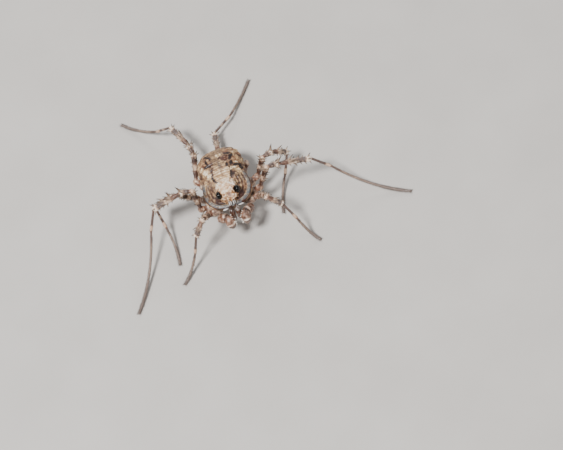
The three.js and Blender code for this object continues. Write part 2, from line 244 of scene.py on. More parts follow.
@dataclass
class Wiring:
    """A material's node sheet, with short calls to add and join nodes.

    Attributes:
        material: The material.
        surface: Its surface shader.
    """

    material: bpy.types.Material
    surface: bpy.types.Node

    @classmethod
    def new(cls, name: str) -> "Wiring":
        """Start a sheet with one surface shader.

        Args:
            name: The material's name.

        Returns:
            The sheet.
        """
        material = bpy.data.materials.new(name)
        material.use_nodes = True
        return cls(material, material.node_tree.nodes["Principled BSDF"])

    def node(self, kind: str, **values: float) -> bpy.types.Node:
        """Add a node.

        Args:
            kind: The node's type.
            **values: Values of its inputs, by name.

        Returns:
            The node.
        """
        made = self.material.node_tree.nodes.new(kind)
        for key, value in values.items():
            made.inputs[key].default_value = value
        return made

    def join(self, source: bpy.types.Node, out: str, target: bpy.types.Node, into: str | int) -> None:
        """Join an output to an input.

        Args:
            source: The node that gives.
            out: Its output's name.
            target: The node that takes.
            into: Its input's name or number.
        """
        self.material.node_tree.links.new(source.outputs[out], target.inputs[into])

    def group(self, tree: bpy.types.NodeTree, values: dict[str, float]) -> bpy.types.Node:
        """Place a shared node group.

        Args:
            tree: The group.
            values: Values of its inputs, by name.

        Returns:
            The node that holds it.
        """
        made = self.material.node_tree.nodes.new("ShaderNodeGroup")
        made.node_tree = tree
        for key, value in values.items():
            made.inputs[key].default_value = value
        return made

    def mark(self, name: str) -> bpy.types.Node:
        """Read one of the mesh's marks.

        Args:
            name: The mark's name.

        Returns:
            The node, whose output is "Fac".
        """
        made = self.node("ShaderNodeAttribute")
        made.attribute_name = name
        return made

    def maths(self, kind: str, *terms: float | tuple[bpy.types.Node, str]) -> bpy.types.Node:
        """Add a sum.

        Args:
            kind: The operation.
            *terms: Numbers, or a node with the name of its output.

        Returns:
            The node, whose output is "Value".
        """
        made = self.node("ShaderNodeMath")
        made.operation = kind
        for number, term in enumerate(terms):
            if isinstance(term, tuple):
                self.join(term[0], term[1], made, number)
            else:
                made.inputs[number].default_value = term
        return made

    def ramp(self, source: tuple[bpy.types.Node, str], tones: Tones) -> bpy.types.Node:
        """Colour a value by a row of tones.

        Args:
            source: The node and output that give the value.
            tones: Places from 0 to 1 with their colours.

        Returns:
            The node, whose output is "Color".
        """
        made = self.node("ShaderNodeValToRGB")
        stops = made.color_ramp.elements
        while len(stops) < len(tones):
            stops.new(0.5)
        for stop, (place, code) in zip(stops, tones):
            stop.position = place
            stop.color = shade(code)
        self.join(source[0], source[1], made, "Fac")
        return made

    def mix(
        self,
        base: tuple[bpy.types.Node, str],
        other: tuple[float, float, float, float],
        share: tuple[bpy.types.Node, str],
    ) -> "ColourOut":
        """Mix a colour into another by a mask.

        Args:
            base: The node and output of the first colour.
            other: The colour that comes in.
            share: The node and output of the mask.

        Returns:
            The node, whose output is "Result".
        """
        made = self.node("ShaderNodeMix")
        made.data_type = "RGBA"
        self.join(share[0], share[1], made, 0)
        self.join(base[0], base[1], made, 6)
        made.inputs[7].default_value = other
        return ColourOut(made)


class ColourOut:
    """A mix node whose colour output is read as "Result"."""

    def __init__(self, node: bpy.types.Node) -> None:
        """Keep the node and its colour output.

        Args:
            node: The mix node.
        """
        self.node = node
        self.outputs = {"Result": node.outputs[2]}


def grain_group() -> bpy.types.NodeTree:
    """Give the shared grain: fine pits and granules on every hard skin.

    Returns:
        The node group, with the inputs Place and Scale and the outputs Mask and Height.
    """
    name = "cuticle_grain"
    if name in bpy.data.node_groups:
        return bpy.data.node_groups[name]
    tree = bpy.data.node_groups.new(name, "ShaderNodeTree")
    for socket, kind in (("Place", "NodeSocketVector"), ("Scale", "NodeSocketFloat")):
        tree.interface.new_socket(socket, in_out="INPUT", socket_type=kind)
    for socket in ("Mask", "Height"):
        tree.interface.new_socket(socket, in_out="OUTPUT", socket_type="NodeSocketFloat")
    inlet = tree.nodes.new("NodeGroupInput")
    outlet = tree.nodes.new("NodeGroupOutput")
    blotch = tree.nodes.new("ShaderNodeTexNoise")
    blotch.inputs["Detail"].default_value = 4
    cells = tree.nodes.new("ShaderNodeTexVoronoi")
    cells.feature = "SMOOTH_F1"
    height = tree.nodes.new("ShaderNodeMath")
    height.operation = "MULTIPLY_ADD"
    height.inputs[1].default_value = -0.8
    join = tree.links.new
    for texture in (blotch, cells):
        join(inlet.outputs["Place"], texture.inputs["Vector"])
        join(inlet.outputs["Scale"], texture.inputs["Scale"])
    join(cells.outputs["Distance"], height.inputs[0])
    join(blotch.outputs["Fac"], height.inputs[2])
    join(blotch.outputs["Fac"], outlet.inputs["Mask"])
    join(height.outputs["Value"], outlet.inputs["Height"])
    return tree


SHELL = CuticleFinish(
    "shell_cuticle",
    ((0.0, "0c0705"), (0.25, "3b2b20"), (0.5, "80664a"), (0.75, "c6a577"), (1.0, "fff4da")),
    tint="a04a1e",
    cool="626d73",
    grain=11000.0,
    contrast=0.42,
    depth=0.00005,
    coat=0.2,
)
MOUND = CuticleFinish(
    "mound_cuticle",
    ((0.0, "140b07"), (0.3, "8f6444"), (0.6, "e0b992"), (1.0, "fff6e6")),
    tint="c98a4e",
    cool="6d5a68",
    grain=11000.0,
    contrast=0.36,
    rough=0.5,
    depth=0.00005,
)
PALP = CuticleFinish(
    "palp_cuticle",
    ((0.0, "1f120d"), (0.35, "6b5145"), (0.6, "a78a77"), (0.85, "dcc6b4"), (1.0, "fff2e6")),
    tint="ad6a40",
    cool="8a8482",
    rough=0.42,
    coat=0.25,
)
# The palest stops of this ramp give the brow lobes their painted reflection.
JAW = CuticleFinish(
    "jaw_cuticle",
    ((0.0, "0f0a08"), (0.4, "4a3328"), (0.75, "b7aea6"), (1.0, "f6f3ee")),
    tint="7a4a32",
    cool="8f9698",
    rough=0.3,
    sheen=0.14,
    coat=0.5,
    contrast=0.12,
)
LEG = CuticleFinish(
    "leg_cuticle",
    ((0.0, "0e0807"), (0.2, "382622"), (0.45, "7b6153"), (0.7, "cfb095"), (0.88, "fae8d2"), (1.0, "fffaf0")),
    tint="b3652f",
    cool="82756f",
    rough=0.42,
    coat=0.2,
    contrast=0.26,
)


@dataclass(frozen=True)
class BristleFinish:
    """The finish of spines, hairs or teeth, from root to tip.

    Attributes:
        name: The material's name.
        root: Colour at the root.
        tip: Colour at the tip.
        rough: Roughness where the grain is lowest.
        grain: Grains in a metre.
    """

    name: str
    root: str
    tip: str
    rough: float
    grain: float = 16000.0

    def material(self) -> bpy.types.Material:
        """Build the material once and give it back each time.

        Returns:
            The material.
        """
        made = bpy.data.materials.get(self.name)
        if made:
            return made
        sheet = Wiring.new(self.name)
        tones = ((0.0, self.root), (0.3, self.root), (0.85, self.tip))
        ramp = sheet.ramp((sheet.mark("tone"), "Fac"), tones)
        grain = sheet.group(grain_group(), {"Scale": self.grain})
        sheet.join(sheet.node("ShaderNodeTexCoord"), "Object", grain, "Place")
        patchy = sheet.maths("MULTIPLY_ADD", (grain, "Mask"), 0.2, self.rough)
        sheet.join(ramp, "Color", sheet.surface, "Base Color")
        sheet.join(patchy, "Value", sheet.surface, "Roughness")
        return sheet.material


@dataclass(frozen=True)
class PlainFinish:
    """A finish of nearly one colour, which drifts a little with the grain.

    Attributes:
        name: The material's name.
        tones: The colours that the grain's mask picks.
        grain: Grains in a metre.
        inputs: Values of the surface shader's inputs, by name.
    """

    name: str
    tones: Tones
    grain: float
    inputs: tuple[tuple[str, float], ...]

    def material(self) -> bpy.types.Material:
        """Build the material once and give it back each time.

        Returns:
            The material.
        """
        made = bpy.data.materials.get(self.name)
        if made:
            return made
        sheet = Wiring.new(self.name)
        grain = sheet.group(grain_group(), {"Scale": self.grain})
        sheet.join(sheet.node("ShaderNodeTexCoord"), "Object", grain, "Place")
        ramp = sheet.ramp((grain, "Mask"), self.tones)
        sheet.join(ramp, "Color", sheet.surface, "Base Color")
        for socket, value in self.inputs:
            sheet.surface.inputs[socket].default_value = value
        return sheet.material


SPINE_HORN = BristleFinish("spine_horn", "a98f7a", "1a0e0a", 0.32)
HAIR_FUZZ = BristleFinish("hair_fuzz", "5f524d", "a2968e", 0.5)
TOOTH_HORN = BristleFinish("tooth_horn", "efe3d4", "f8f1e6", 0.3)
EYE_LENS = PlainFinish(
    "eye_lens",
    ((0.3, "020101"), (0.8, "0d0806")),
    grain=2500.0,
    inputs=(
        ("Roughness", 0.08),
        ("Specular IOR Level", 0.35),
        ("Coat Weight", 0.15),
        ("Coat Roughness", 0.03),
    ),
)
FLOOR_PAPER = PlainFinish(
    "floor_paper", ((0.3, "c4bfb9"), (0.7, "cbc6c0")), grain=120.0, inputs=(("Roughness", 0.8),)
)


def finished(
    name: str,
    form: bmesh.types.BMesh,
    material: bpy.types.Material,
    marks: Marks,
    nodes: tuple[str, ...] = (),
) -> None:
    """Turn a form in millimetres into a piece of the model.

    Args:
        name: The piece's name.
        form: The form, freed here.
        material: Its finish.
        marks: A value for each vertex, by the mark's name.
        nodes: The frame's nodes that it stands for.
    """
    bmesh.ops.recalc_face_normals(form, faces=form.faces)
    bmesh.ops.scale(form, vec=Vector((MM, MM, MM)), verts=form.verts)
    mesh = bpy.data.meshes.new(name)
    form.to_mesh(mesh)
    form.free()
    dressed(name, mesh, material, marks, nodes)


def dressed(
    name: str,
    mesh: bpy.types.Mesh,
    material: bpy.types.Material,
    marks: Marks,
    nodes: tuple[str, ...] = (),
) -> None:
    """Give a mesh its marks, finish and place in the model.

    Args:
        name: The piece's name.
        mesh: The mesh, in metres.
        material: Its finish.
        marks: A value for each vertex, by the mark's name.
        nodes: The frame's nodes that it stands for.
    """
    for mark, values in marks.items():
        mesh.attributes.new(mark, "FLOAT", "POINT").data.foreach_set("value", values)
    mesh.materials.append(material)
    mesh.shade_smooth()
    piece = bpy.data.objects.new(name, mesh)
    bpy.context.scene.collection.objects.link(piece)
    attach(piece, "root")
    if nodes:
        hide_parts(*nodes)
    LOG.info("%s: %d faces", name, len(mesh.polygons))


def drawn_sphere(
    around: int, along: int, place: Place
) -> tuple[bmesh.types.BMesh, list[tuple[float, float]]]:
    """Draw a sphere out into a closed skin from its first pole to its last.

    Args:
        around: Faces round it.
        along: Faces from pole to pole.
        place: Gives a vertex its place from its share of the way and its turn in radians.

    Returns:
        The form, and each vertex's share and turn.
    """
    form = bmesh.new()
    bmesh.ops.create_uvsphere(form, u_segments=around, v_segments=along, radius=1)
    charts = []
    for vertex in form.verts:
        share = round(math.acos(max(-1.0, min(1.0, vertex.co.z))) / math.pi * along) / along
        turn = math.atan2(vertex.co.y, vertex.co.x)
        charts.append((share, turn))
        vertex.co = place(share, turn)
    return form, charts


@dataclass
class Trunk:
    """The frame of the head and body, whose zero is the middle of the eyes.

    Attributes:
        eye_height: The eyes' height above the floor.
        pitch: Degrees that the head end is raised.
    """

    eye_height: float = 4.75
    pitch: float = 8.0

    def matrix(self) -> Matrix:
        """Find the trunk's place from the two eyes of the frame.

        Returns:
            The matrix from the trunk's points to the model's, in millimetres.
        """
        corners = [corner / MM for eye in ("eye_left", "eye_right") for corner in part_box(eye)]
        middle = sum(corners, Vector()) / len(corners)
        middle.z = self.eye_height
        return Matrix.Translation(middle) @ Matrix.Rotation(-math.radians(self.pitch), 4, "X")


@dataclass(frozen=True)
class Blotch:
    """An oval mark on the back.

    Attributes:
        left: Its middle, to the animal's left.
        back: Its middle, back from the eyes.
        wide: Half its width.
        long: Half its length.
        tone: The tone that it brings, from 0, black, to 1, cream.
        turn: Degrees that its length leans to the left.
    """

    left: float
    back: float
    wide: float
    long: float
    tone: float
    turn: float = 0.0

    def weight(self, left: float, back: float) -> float:
        """Say how strongly the mark shows.

        Args:
            left: The point's place to the left.
            back: The point's place back from the eyes.

        Returns:
            A share from 0, off the mark, to 1.
        """
        lean = math.radians(self.turn)
        dx, dy = left - self.left, back - self.back
        across = (dx * math.cos(lean) - dy * math.sin(lean)) / self.wide
        down = (dx * math.sin(lean) + dy * math.cos(lean)) / self.long
        ragged = 0.5 * cloud(left, back, 1.7, 3.2) + 0.3 * (pebble(left, back, 1.7, 5.2) - 0.5)
        return ease(math.hypot(across, down) + ragged, 1.3, 0.6)


@dataclass
class Pattern:
    """The colours of the back, in millimetres from the eyes.

    Attributes:
        saddle: Half width of the pale saddle at places back from the eyes.
        spots: Dark and cream marks.
        rust: The red-brown patch.
        rust_edge: Its cream surround.
        band: Inner and outer edge of the glossy margin, as shares of the head shield.
        band_end: Where the margin fades, back from the eyes.
        ridge_step: From one ridge inside the margin to the next, as a share of the shield.
        widest: Where the shield is widest, back from the eyes.
        shield_front: From there to its front end.
        shield_half: Half its width there.
        squareness: How square its outline is, 2 for an oval.
    """

    saddle: Stops = ((1.3, 1.0), (2.0, 0.92), (2.9, 0.82), (3.6, 0.6), (4.4, 0.78), (5.2, 0.5), (5.8, 0.2))
    spots: tuple[Blotch, ...] = (
        Blotch(-1.08, 3.66, 0.36, 0.17, -0.1, 12),
        Blotch(-1.12, 4.15, 0.11, 0.4, 0.02, -6),
        Blotch(-0.9, 4.75, 0.11, 0.4, 0.05, -28),
        Blotch(-0.92, 2.15, 0.12, 0.36, 0.02, -14),
        Blotch(-0.72, 1.85, 0.07, 0.25, 0.15, -40),
        Blotch(0.86, 2.1, 0.12, 0.36, 0.04, 10),
        Blotch(-1.48, 3.2, 0.3, 0.33, 0.96, 20),
        Blotch(-1.22, 2.65, 0.24, 0.26, 0.9, 0),
        Blotch(-1.78, 3.75, 0.2, 0.2, 0.86, 0),
        Blotch(-1.72, 2.35, 0.2, 0.24, 0.75, 0),
        Blotch(1.28, 2.75, 0.36, 0.2, 0.98, -14),
        Blotch(1.72, 2.35, 0.22, 0.24, 0.8, 0),
        Blotch(1.62, 3.25, 0.28, 0.22, 0.85, 0),
        Blotch(1.18, 3.2, 0.18, 0.24, 0.0, 20),
        Blotch(1.5, 2.98, 0.12, 0.34, 0.0, 70),
        Blotch(1.95, 2.75, 0.18, 0.28, 0.02, 0),
        Blotch(0.74, 3.12, 0.14, 0.16, 0.0, 0),
        Blotch(1.3, 3.98, 0.17, 0.42, 0.02, 30),
        Blotch(0.98, 4.5, 0.32, 0.13, 0.05, 0),
        Blotch(0.05, 4.5, 0.3, 0.09, 1.0, 60),
        Blotch(0.42, 4.45, 0.2, 0.12, 0.95, 60),
        Blotch(0.2, 4.05, 0.08, 0.2, 0.1, 30),
        Blotch(1.75, 4.6, 0.28, 0.36, 0.78, 0),
        Blotch(1.35, 5.2, 0.3, 0.24, 0.74, 0),
        Blotch(-1.5, 4.6, 0.2, 0.5, 0.62, 0),
        Blotch(0.3, 5.4, 0.6, 0.24, 0.6, 0),
    )
    rust: Blotch = Blotch(0.64, 3.95, 0.36, 0.42, 0.1, 10)
    rust_edge: Blotch = Blotch(0.64, 3.95, 0.5, 0.58, 0.9, 10)
    band: tuple[float, float] = (0.85, 1.0)
    band_end: float = 2.2
    ridge_step: float = 0.125
    widest: float = 1.35
    shield_front: float = 2.35
    shield_half: float = 2.36
    squareness: float = 2.4

    def shield(self, left: float, back: float, half: float) -> float:
        """Say how far out on the head shield a point lies.

        Args:
            left: The point's place to the left.
            back: The point's place back from the eyes.
            half: Half width of the body there.

        Returns:
            0 in its middle and 1 at its rim.
        """
        if back >= self.widest:
            return abs(left) / max(half, 0.1)
        power = self.squareness
        aside = (abs(left) / self.shield_half) ** power
        ahead = ((self.widest - back) / self.shield_front) ** power
        return (aside + ahead) ** (1 / power)

    def marks(self, left: float, back: float, z: float, half: float, upper: float) -> MarkRow:
        """Work out the marks of a point on the skin.

        Args:
            left: The point's place to the left.
            back: The point's place back from the eyes.
            z: Its height against the eyes.
            half: Half width of the body there.
            upper: 1 on the upper side and 0 below the rim.

        Returns:
            Its tone, tint, cool and gloss.
        """
        tone = 0.5 + 0.36 * cloud(left, back, z, 1.5) + 0.3 * cloud(left, back, z + 5, 4.2, 2)
        tone += 0.16 * (pebble(left, back, z, 5.2) - 0.5)
        tint = 0.12 + 0.15 * cloud(left, back, z - 7, 1.1)
        cool, gloss = 0.0, 0.1
        rim = self.shield(left, back, half)
        width = float(np.interp(back, *zip(*self.saddle)))
        across = abs(left - 0.03)
        inside = ease(across, width + 0.07, width - 0.07) * ease(back, 1.0, 1.5) * ease(back, 5.9, 5.5)
        front_half = ease(back, 3.4, 2.8)
        rows = 0.13 * math.cos(2 * math.pi * back / 0.21 + 1.4 * across) * ease(back, 1.5, 1.8)
        ground = 0.52 + 0.26 * front_half + rows + 0.24 * cloud(left, back, z, 3.0)
        ground += 0.16 * (pebble(left, back, z, 5.2) - 0.5)
        tone += (ground - tone) * inside
        tint += (0.1 * front_half + 0.06 - tint) * inside
        edge = hump(across, width + 0.04, 0.09) * ease(back, 1.3, 1.7) * ease(back, 5.4, 4.8)
        tone -= 0.55 * edge * ease(cloud(left, back, z + 3, 2.4), -0.3, 0.15)
        stripe = hump(left, 0.05, 0.07) * ease(back, 2.1, 2.4) * ease(back, 3.9, 3.6)
        tone -= 0.2 * stripe
        cool += 0.35 * stripe
        crumbs = 0.3 * (pebble(left, back, z, 5.2) - 0.6) + 0.2 * cloud(left, back, z, 5.0)
        for spot in (self.rust_edge, *self.spots):
            weight, dark = spot.weight(left, back), spot.tone < 0.3
            target = spot.tone + 0.4 * crumbs - 0.05 if dark else spot.tone + crumbs
            tone += (target - tone) * weight
            tint *= 1 - 0.8 * weight * dark
        patch = self.rust.weight(left, back)
        scorched = 0.5 * cloud(left, back, z, 5.0) + 0.4 * (pebble(left, back, z, 5.2) - 0.5)
        tone += (self.rust.tone + scorched - tone) * patch
        tint += (0.16 - tint) * patch
        ridges = ease(rim, 0.42, 0.5) * ease(rim, self.band[0] + 0.01, self.band[0] - 0.02)
        ridges *= ease(back, 2.1, 1.7)
        # Inside the margin the tone follows the relief's ridges in step: paler on the crests and darker in
        # the grooves between, painted light and shade.
        turn = 2 * math.pi * (rim - 0.5) / self.ridge_step + 1.5 * cloud(left, back, z, 1.3)
        ridge_light_and_shade = 0.16 + 0.16 * cloud(left, back, z + 2, 1.6)
        tone += (0.4 + ridge_light_and_shade * math.cos(turn) + 0.34 * cloud(left, back, z, 3.2) - tone) * ridges
        inner, outer_edge = self.band
        band = ease(rim, inner - 0.01, inner + 0.03) * ease(rim, outer_edge, outer_edge - 0.03)
        band *= ease(back, self.band_end + 0.3, self.band_end - 0.1)
        band *= ease(cloud(left, back, z + 9, 1.9), -0.5, -0.25)
        # On the glossy margin the streaks alternate: the dark lines are its own streak lines, and the pale
        # lines between them are painted highlight.
        streak = math.cos(2 * math.pi * (rim - 0.93) / 0.062 + 1.8 * cloud(left, back, z, 1.3))
        grit = 0.25 * (pebble(left, back, z, 5.2) - 0.5)
        band_tone_and_highlights = 0.4 + 0.34 * streak + 0.45 * cloud(left, back, z, 3.4) + grit
        tone += (band_tone_and_highlights - tone) * band
        cool += (0.6 - 0.2 * streak - cool) * band
        outer = ease(rim, 0.985, 1.02) * ease(back, 2.6, 2.0) * upper
        tone += (0.74 + 0.42 * cloud(left, back, z, 1.8) - tone) * outer
        tone -= 0.5 * hump(rim, 1.0, 0.02) * ease(back, 2.4, 2.0)
        gloss += (0.95 - gloss) * band
        # Painted shade on the shield under each eye.
        for side in Side:
            socket = math.hypot(left - side.value * 0.9, back - 0.05)
            tone -= 0.5 * ease(socket, 0.62, 0.45)
        under = 1 - upper
        plain = 0.55 + 0.12 * cloud(left, back, z, 1.5)
        tone += (plain - tone) * under
        cool *= upper
        return tone, max(0.0, tint * (0.4 + 0.6 * upper)), max(0.0, cool), gloss * (0.3 + 0.7 * upper)


@dataclass
class Body:
    """The head shield and abdomen as one skin.

    Attributes:
        trunk: Where the trunk's points lie in the model.
        stations: Places along it: back from the eyes, half width, top and bottom.
        margin: Height of its widest line against the eyes.
        waist: The groove between its two parts, back from the eyes.
        yaw: Degrees that the abdomen swings to the left.
        plates: Where its back plates end.
        around: Faces round it.
        along: Faces along it.
        groove: Depth of the grooves between the back plates.
        waist_depth: Depth of the groove at the waist.
        granule: Height of the granules.
        bead: Height of the rows of larger granules.
        ridge: Height of the ridges inside the margin.
        roll: Height of the glossy margin.
        gutter: Depth of the groove along it.
        lump: Height of the lumps on the flanks.
        pattern: Its colours.
        rings: The smoothed stations that were read, by their share.
    """

    trunk: Matrix
    stations: tuple[tuple[float, float, float, float], ...] = (
        (-1.00, 0.00, -1.12, -1.25),
        (-0.85, 1.10, -0.98, -1.60),
        (-0.35, 1.90, -0.84, -2.05),
        (0.45, 2.32, -0.70, -2.40),
        (1.30, 2.36, -0.45, -2.50),
        (2.20, 2.24, -0.08, -2.45),
        (3.20, 2.26, 0.28, -2.35),
        (4.25, 2.28, 0.34, -2.20),
        (5.20, 2.06, 0.05, -1.95),
        (5.95, 1.42, -0.50, -1.60),
        (6.30, 0.00, -1.00, -1.12),
    )
    margin: float = -1.12
    waist: float = 1.6
    yaw: float = 2.6
    plates: tuple[float, ...] = (2.3, 3.0, 3.7, 4.4, 5.05, 5.6)
    around: int = 216
    along: int = 260
    groove: float = 0.085
    waist_depth: float = 0.07
    granule: float = 0.07
    bead: float = 0.06
    ridge: float = 0.04
    roll: float = 0.08
    gutter: float = 0.06
    lump: float = 0.13
    pattern: Pattern = field(default_factory=Pattern)
    rings: dict[float, tuple[float, ...]] = field(default_factory=dict)

    def ring(self, share: float) -> tuple[float, ...]:
        """Read the stations part of the way along, on a smooth curve.

        Args:
            share: Share of the way from the front end to the back.

        Returns:
            The place back from the eyes, half width, top and bottom.
        """
        if share not in self.rings:
            last = len(self.stations) - 1
            start = min(int(share * last), last - 1)
            t = share * last - start
            rows = [self.stations[max(0, min(last, start + step))] for step in (-1, 0, 1, 2)]
            self.rings[share] = tuple(catmull(*values, t) for values in zip(*rows))
        return self.rings[share]

    def place(self, share: float, turn: float) -> Vector:
        """Place a vertex of the skin.

        Args:
            share: Share of the way along.
            turn: Turn from the left side over the back, in radians.

        Returns:
            Its place in the trunk's frame.
        """
        back, half, top, bottom = self.ring(share)
        pole = share in (0.0, 1.0)
        rise, side = math.sin(turn), math.cos(turn)
        depth = top - self.margin if rise > 0 else self.margin - bottom
        tuck = abs(side) ** (-0.18 if rise > 0 else 0.6) if abs(side) > 1e-6 else 0.0
        shift = max(0.0, back - self.waist) * math.tan(math.radians(self.yaw))
        if pole:
            return Vector((shift, back, self.margin))
        x = half * side * tuck
        z = self.margin + depth * rise
        lift = self.relief(x, back, z, half, rise) * math.sin(math.pi * share) ** 0.5
        return Vector((x + shift + lift * side, back, z + lift * rise))

    def relief(self, left: float, back: float, z: float, half: float, rise: float) -> float:
        """Work out how far the skin stands out or sinks in.

        Args:
            left: The point's place to the left of the body's middle line.
            back: The point's place back from the eyes.
            z: Its height against the eyes.
            half: Half width of the body there.
            rise: Sine of its turn.

        Returns:
            The lift, which is below 0 in a groove.
        """
        upper = ease(rise, -0.12, 0.12)
        rim = self.pattern.shield(left, back, half)
        sway = back + 0.16 * (left / max(half, 0.5)) ** 2 + 0.03 * cloud(left, back, z, 2.0)
        grooves = sum(hump(sway, end, 0.075) for end in self.plates)
        waist = hump(back + 0.1 * (left / 2.2) ** 2, self.waist, 0.06)
        granules = pebble(left, sway, z, 5.2) * (0.5 + 0.5 * cloud(left, back, z, 1.4))
        rows = sum(hump(sway, end - 0.3, 0.1) for end in self.plates) * pebble(left, sway, z, 3.6)
        ridges = ease(rim, 0.42, 0.5) * ease(rim, 0.83, 0.78) * ease(back, 2.1, 1.7)
        wave = 2 * math.pi * (rim - 0.5) / self.pattern.ridge_step
        ridges *= math.cos(wave + 1.5 * cloud(left, back, z, 1.3))
        band = hump(rim, 0.93, 0.06) * ease(back, 2.6, 2.2)
        gutter = hump(rim, 0.81, 0.03) * ease(back, 2.4, 2.0)
        flank = ease(abs(left) / max(half, 0.5), 0.55, 0.95) * ease(back, 2.2, 2.8)
        lumps = flank * (pebble(left * 0.5, sway, z, 2.1) - 0.3)
        lift = -self.groove * grooves - self.waist_depth * waist + self.granule * granules + self.bead * rows
        lift += self.ridge * ridges + self.roll * band - self.gutter * gutter + self.lump * lumps
        return lift * upper + (1 - upper) * 0.03 * granules

    def build(self) -> None:
        """Make the skin and its marks."""
        form, charts = drawn_sphere(self.around, self.along, self.place)
        rows: list[MarkRow] = []
        for vertex, (share, turn) in zip(form.verts, charts):
            back, half, _, _ = self.ring(share)
            shift = max(0.0, back - self.waist) * math.tan(math.radians(self.yaw))
            upper = ease(math.sin(turn), -0.2, 0.02) if 0 < share < 1 else 1.0
            co = vertex.co
            rows.append(self.pattern.marks(co.x - shift, co.y, co.z, half, upper))
        bmesh.ops.transform(form, matrix=self.trunk, verts=form.verts)
        nodes = ("prosoma", "opisthosoma")
        finished("body_skin", form, SHELL.material(), gathered(rows), nodes)


def catmull(a: float, b: float, c: float, d: float, t: float) -> float:
    """Read a smooth curve between the middle two of four values.

    Args:
        a: The value before.
        b: The value at the start.
        c: The value at the end.
        d: The value after.
        t: Share of the way from start to end.

    Returns:
        The value there.
    """
    rise, fall = (c - a) / 2, (d - b) / 2
    return (2 * b - 2 * c + rise + fall) * t**3 + (3 * c - 3 * b - 2 * rise - fall) * t**2 + rise * t + b


@dataclass
class EyeMound:
    """The pale, granular mound between the eyes, and the eyes.

    Attributes:
        trunk: Where the trunk's points lie in the model.
        half_width: Half its width between the eyes.
        half_length: Half its length.
        half_height: Half its height, most of it sunk in the shield.
        middle: Its middle in the trunk's frame.
        eye_radius: Radius of an eye.
        eye_spread: From the midline to the middle of an eye.
        eye_stretch: An eye's width, length and height against a ball's.
        squareness: Below 1, how square the mound is.
    """

    trunk: Matrix
    half_width: float = 0.97
    half_length: float = 1.1
    half_height: float = 0.92
    middle: tuple[float, float, float] = (0.0, 0.5, -0.5)
    eye_radius: float = 0.38
    eye_spread: float = 0.92
    eye_stretch: tuple[float, float, float] = (0.74, 1.04, 1.0)
    squareness: float = 0.75

    def place(self, share: float, turn: float) -> Vector:
        """Place a vertex of the mound, whose poles are its front and back.

        Args:
            share: Share of the way from front to back.
            turn: Turn from the left side over the top, in radians.

        Returns:
            Its place in the trunk's frame.
        """
        y = -math.cos(math.pi * share)
        ring = math.sin(math.pi * share)
        x, z = ring * math.cos(turn), ring * math.sin(turn)
        squared = [math.copysign(abs(value) ** self.squareness, value) for value in (x, y, z)]
        width = self.half_width * (1.02 + 0.12 * y)
        point = Vector(squared) * Vector((width, self.half_length, self.half_height))
        point += Vector(self.middle)
        outward = Vector((x, y, z)).normalized() if ring else Vector((0, y, 0))
        lift = 0.13 * pebble(*point, 4.6) + 0.06 * pebble(*point, 9.0) + 0.05 * cloud(*point, 1.6) - 0.05
        for side in Side:
            gap = (point - Vector((side.value * self.eye_spread, 0, 0))).length
            lift += 0.09 * hump(gap, self.eye_radius + 0.06, 0.1)
        return point + outward * lift

    def marks(self, point: Vector) -> MarkRow:
        """Work out the marks of a point on the mound.

        Args:
            point: Its place in the trunk's frame.

        Returns:
            Its tone, tint, cool and gloss.
        """
        tone = 0.76 + 0.34 * cloud(*point, 2.2) + 0.34 * cloud(*point, 7.0, 2)
        tone += 0.4 * (pebble(*point, 4.6) - 0.5)
        front = ease(point.y, 0.0, -0.5)
        tone -= 0.1 * front
        tint = 0.04 + 0.05 * front + 0.14 * max(0.0, cloud(*point, 1.8))
        for patch in (-0.42, 0.04, 0.42):
            rust = math.hypot(point.x - patch, point.y + 0.33 + 0.3 * (patch == 0.04))
            tint += 0.36 * ease(rust, 0.2, 0.07)
        for side in Side:
            dot = math.hypot(point.x - side.value * 0.43, point.y + 0.3)
            tone -= 0.75 * ease(dot, 0.12, 0.06)
            # Painted shade rings each eye where the mound meets it.
            socket = (point - Vector((side.value * self.eye_spread, 0, 0))).length
            tone -= 0.5 * ease(socket, self.eye_radius + 0.1, self.eye_radius + 0.02)
        grey = ease(math.hypot(point.x - 0.08, point.y + 0.42), 0.2, 0.08)
        # The mound darkens towards its foot, where it sinks into the shield: painted shade.
        low = ease(point.z, -0.25, -0.6)
        return tone - 0.3 * low, min(1.0, tint), 0.55 * grey, 0.15

    def build(self) -> None:
        """Make the mound and the two eyes."""
        form, _ = drawn_sphere(96, 80, self.place)
        marks = gathered([self.marks(vertex.co) for vertex in form.verts])
        bmesh.ops.transform(form, matrix=self.trunk, verts=form.verts)
        finished("eye_mound", form, MOUND.material(), marks, ("ocularium",))
        for side in Side:
            self._eye(side)

    def _eye(self, side: Side) -> None:
        """Make one eye, a little flattened where it meets the mound.

        Args:
            side: The eye's side.
        """
        form = bmesh.new()
        bmesh.ops.create_uvsphere(form, u_segments=40, v_segments=28, radius=self.eye_radius)
        bmesh.ops.scale(form, vec=Vector(self.eye_stretch), verts=form.verts)
        bmesh.ops.translate(form, vec=Vector((side.value * self.eye_spread, 0, 0)), verts=form.verts)
        bmesh.ops.transform(form, matrix=self.trunk, verts=form.verts)
        finished(f"eye_ball_{side.word}", form, EYE_LENS.material(), {}, (f"eye_{side.word}",))


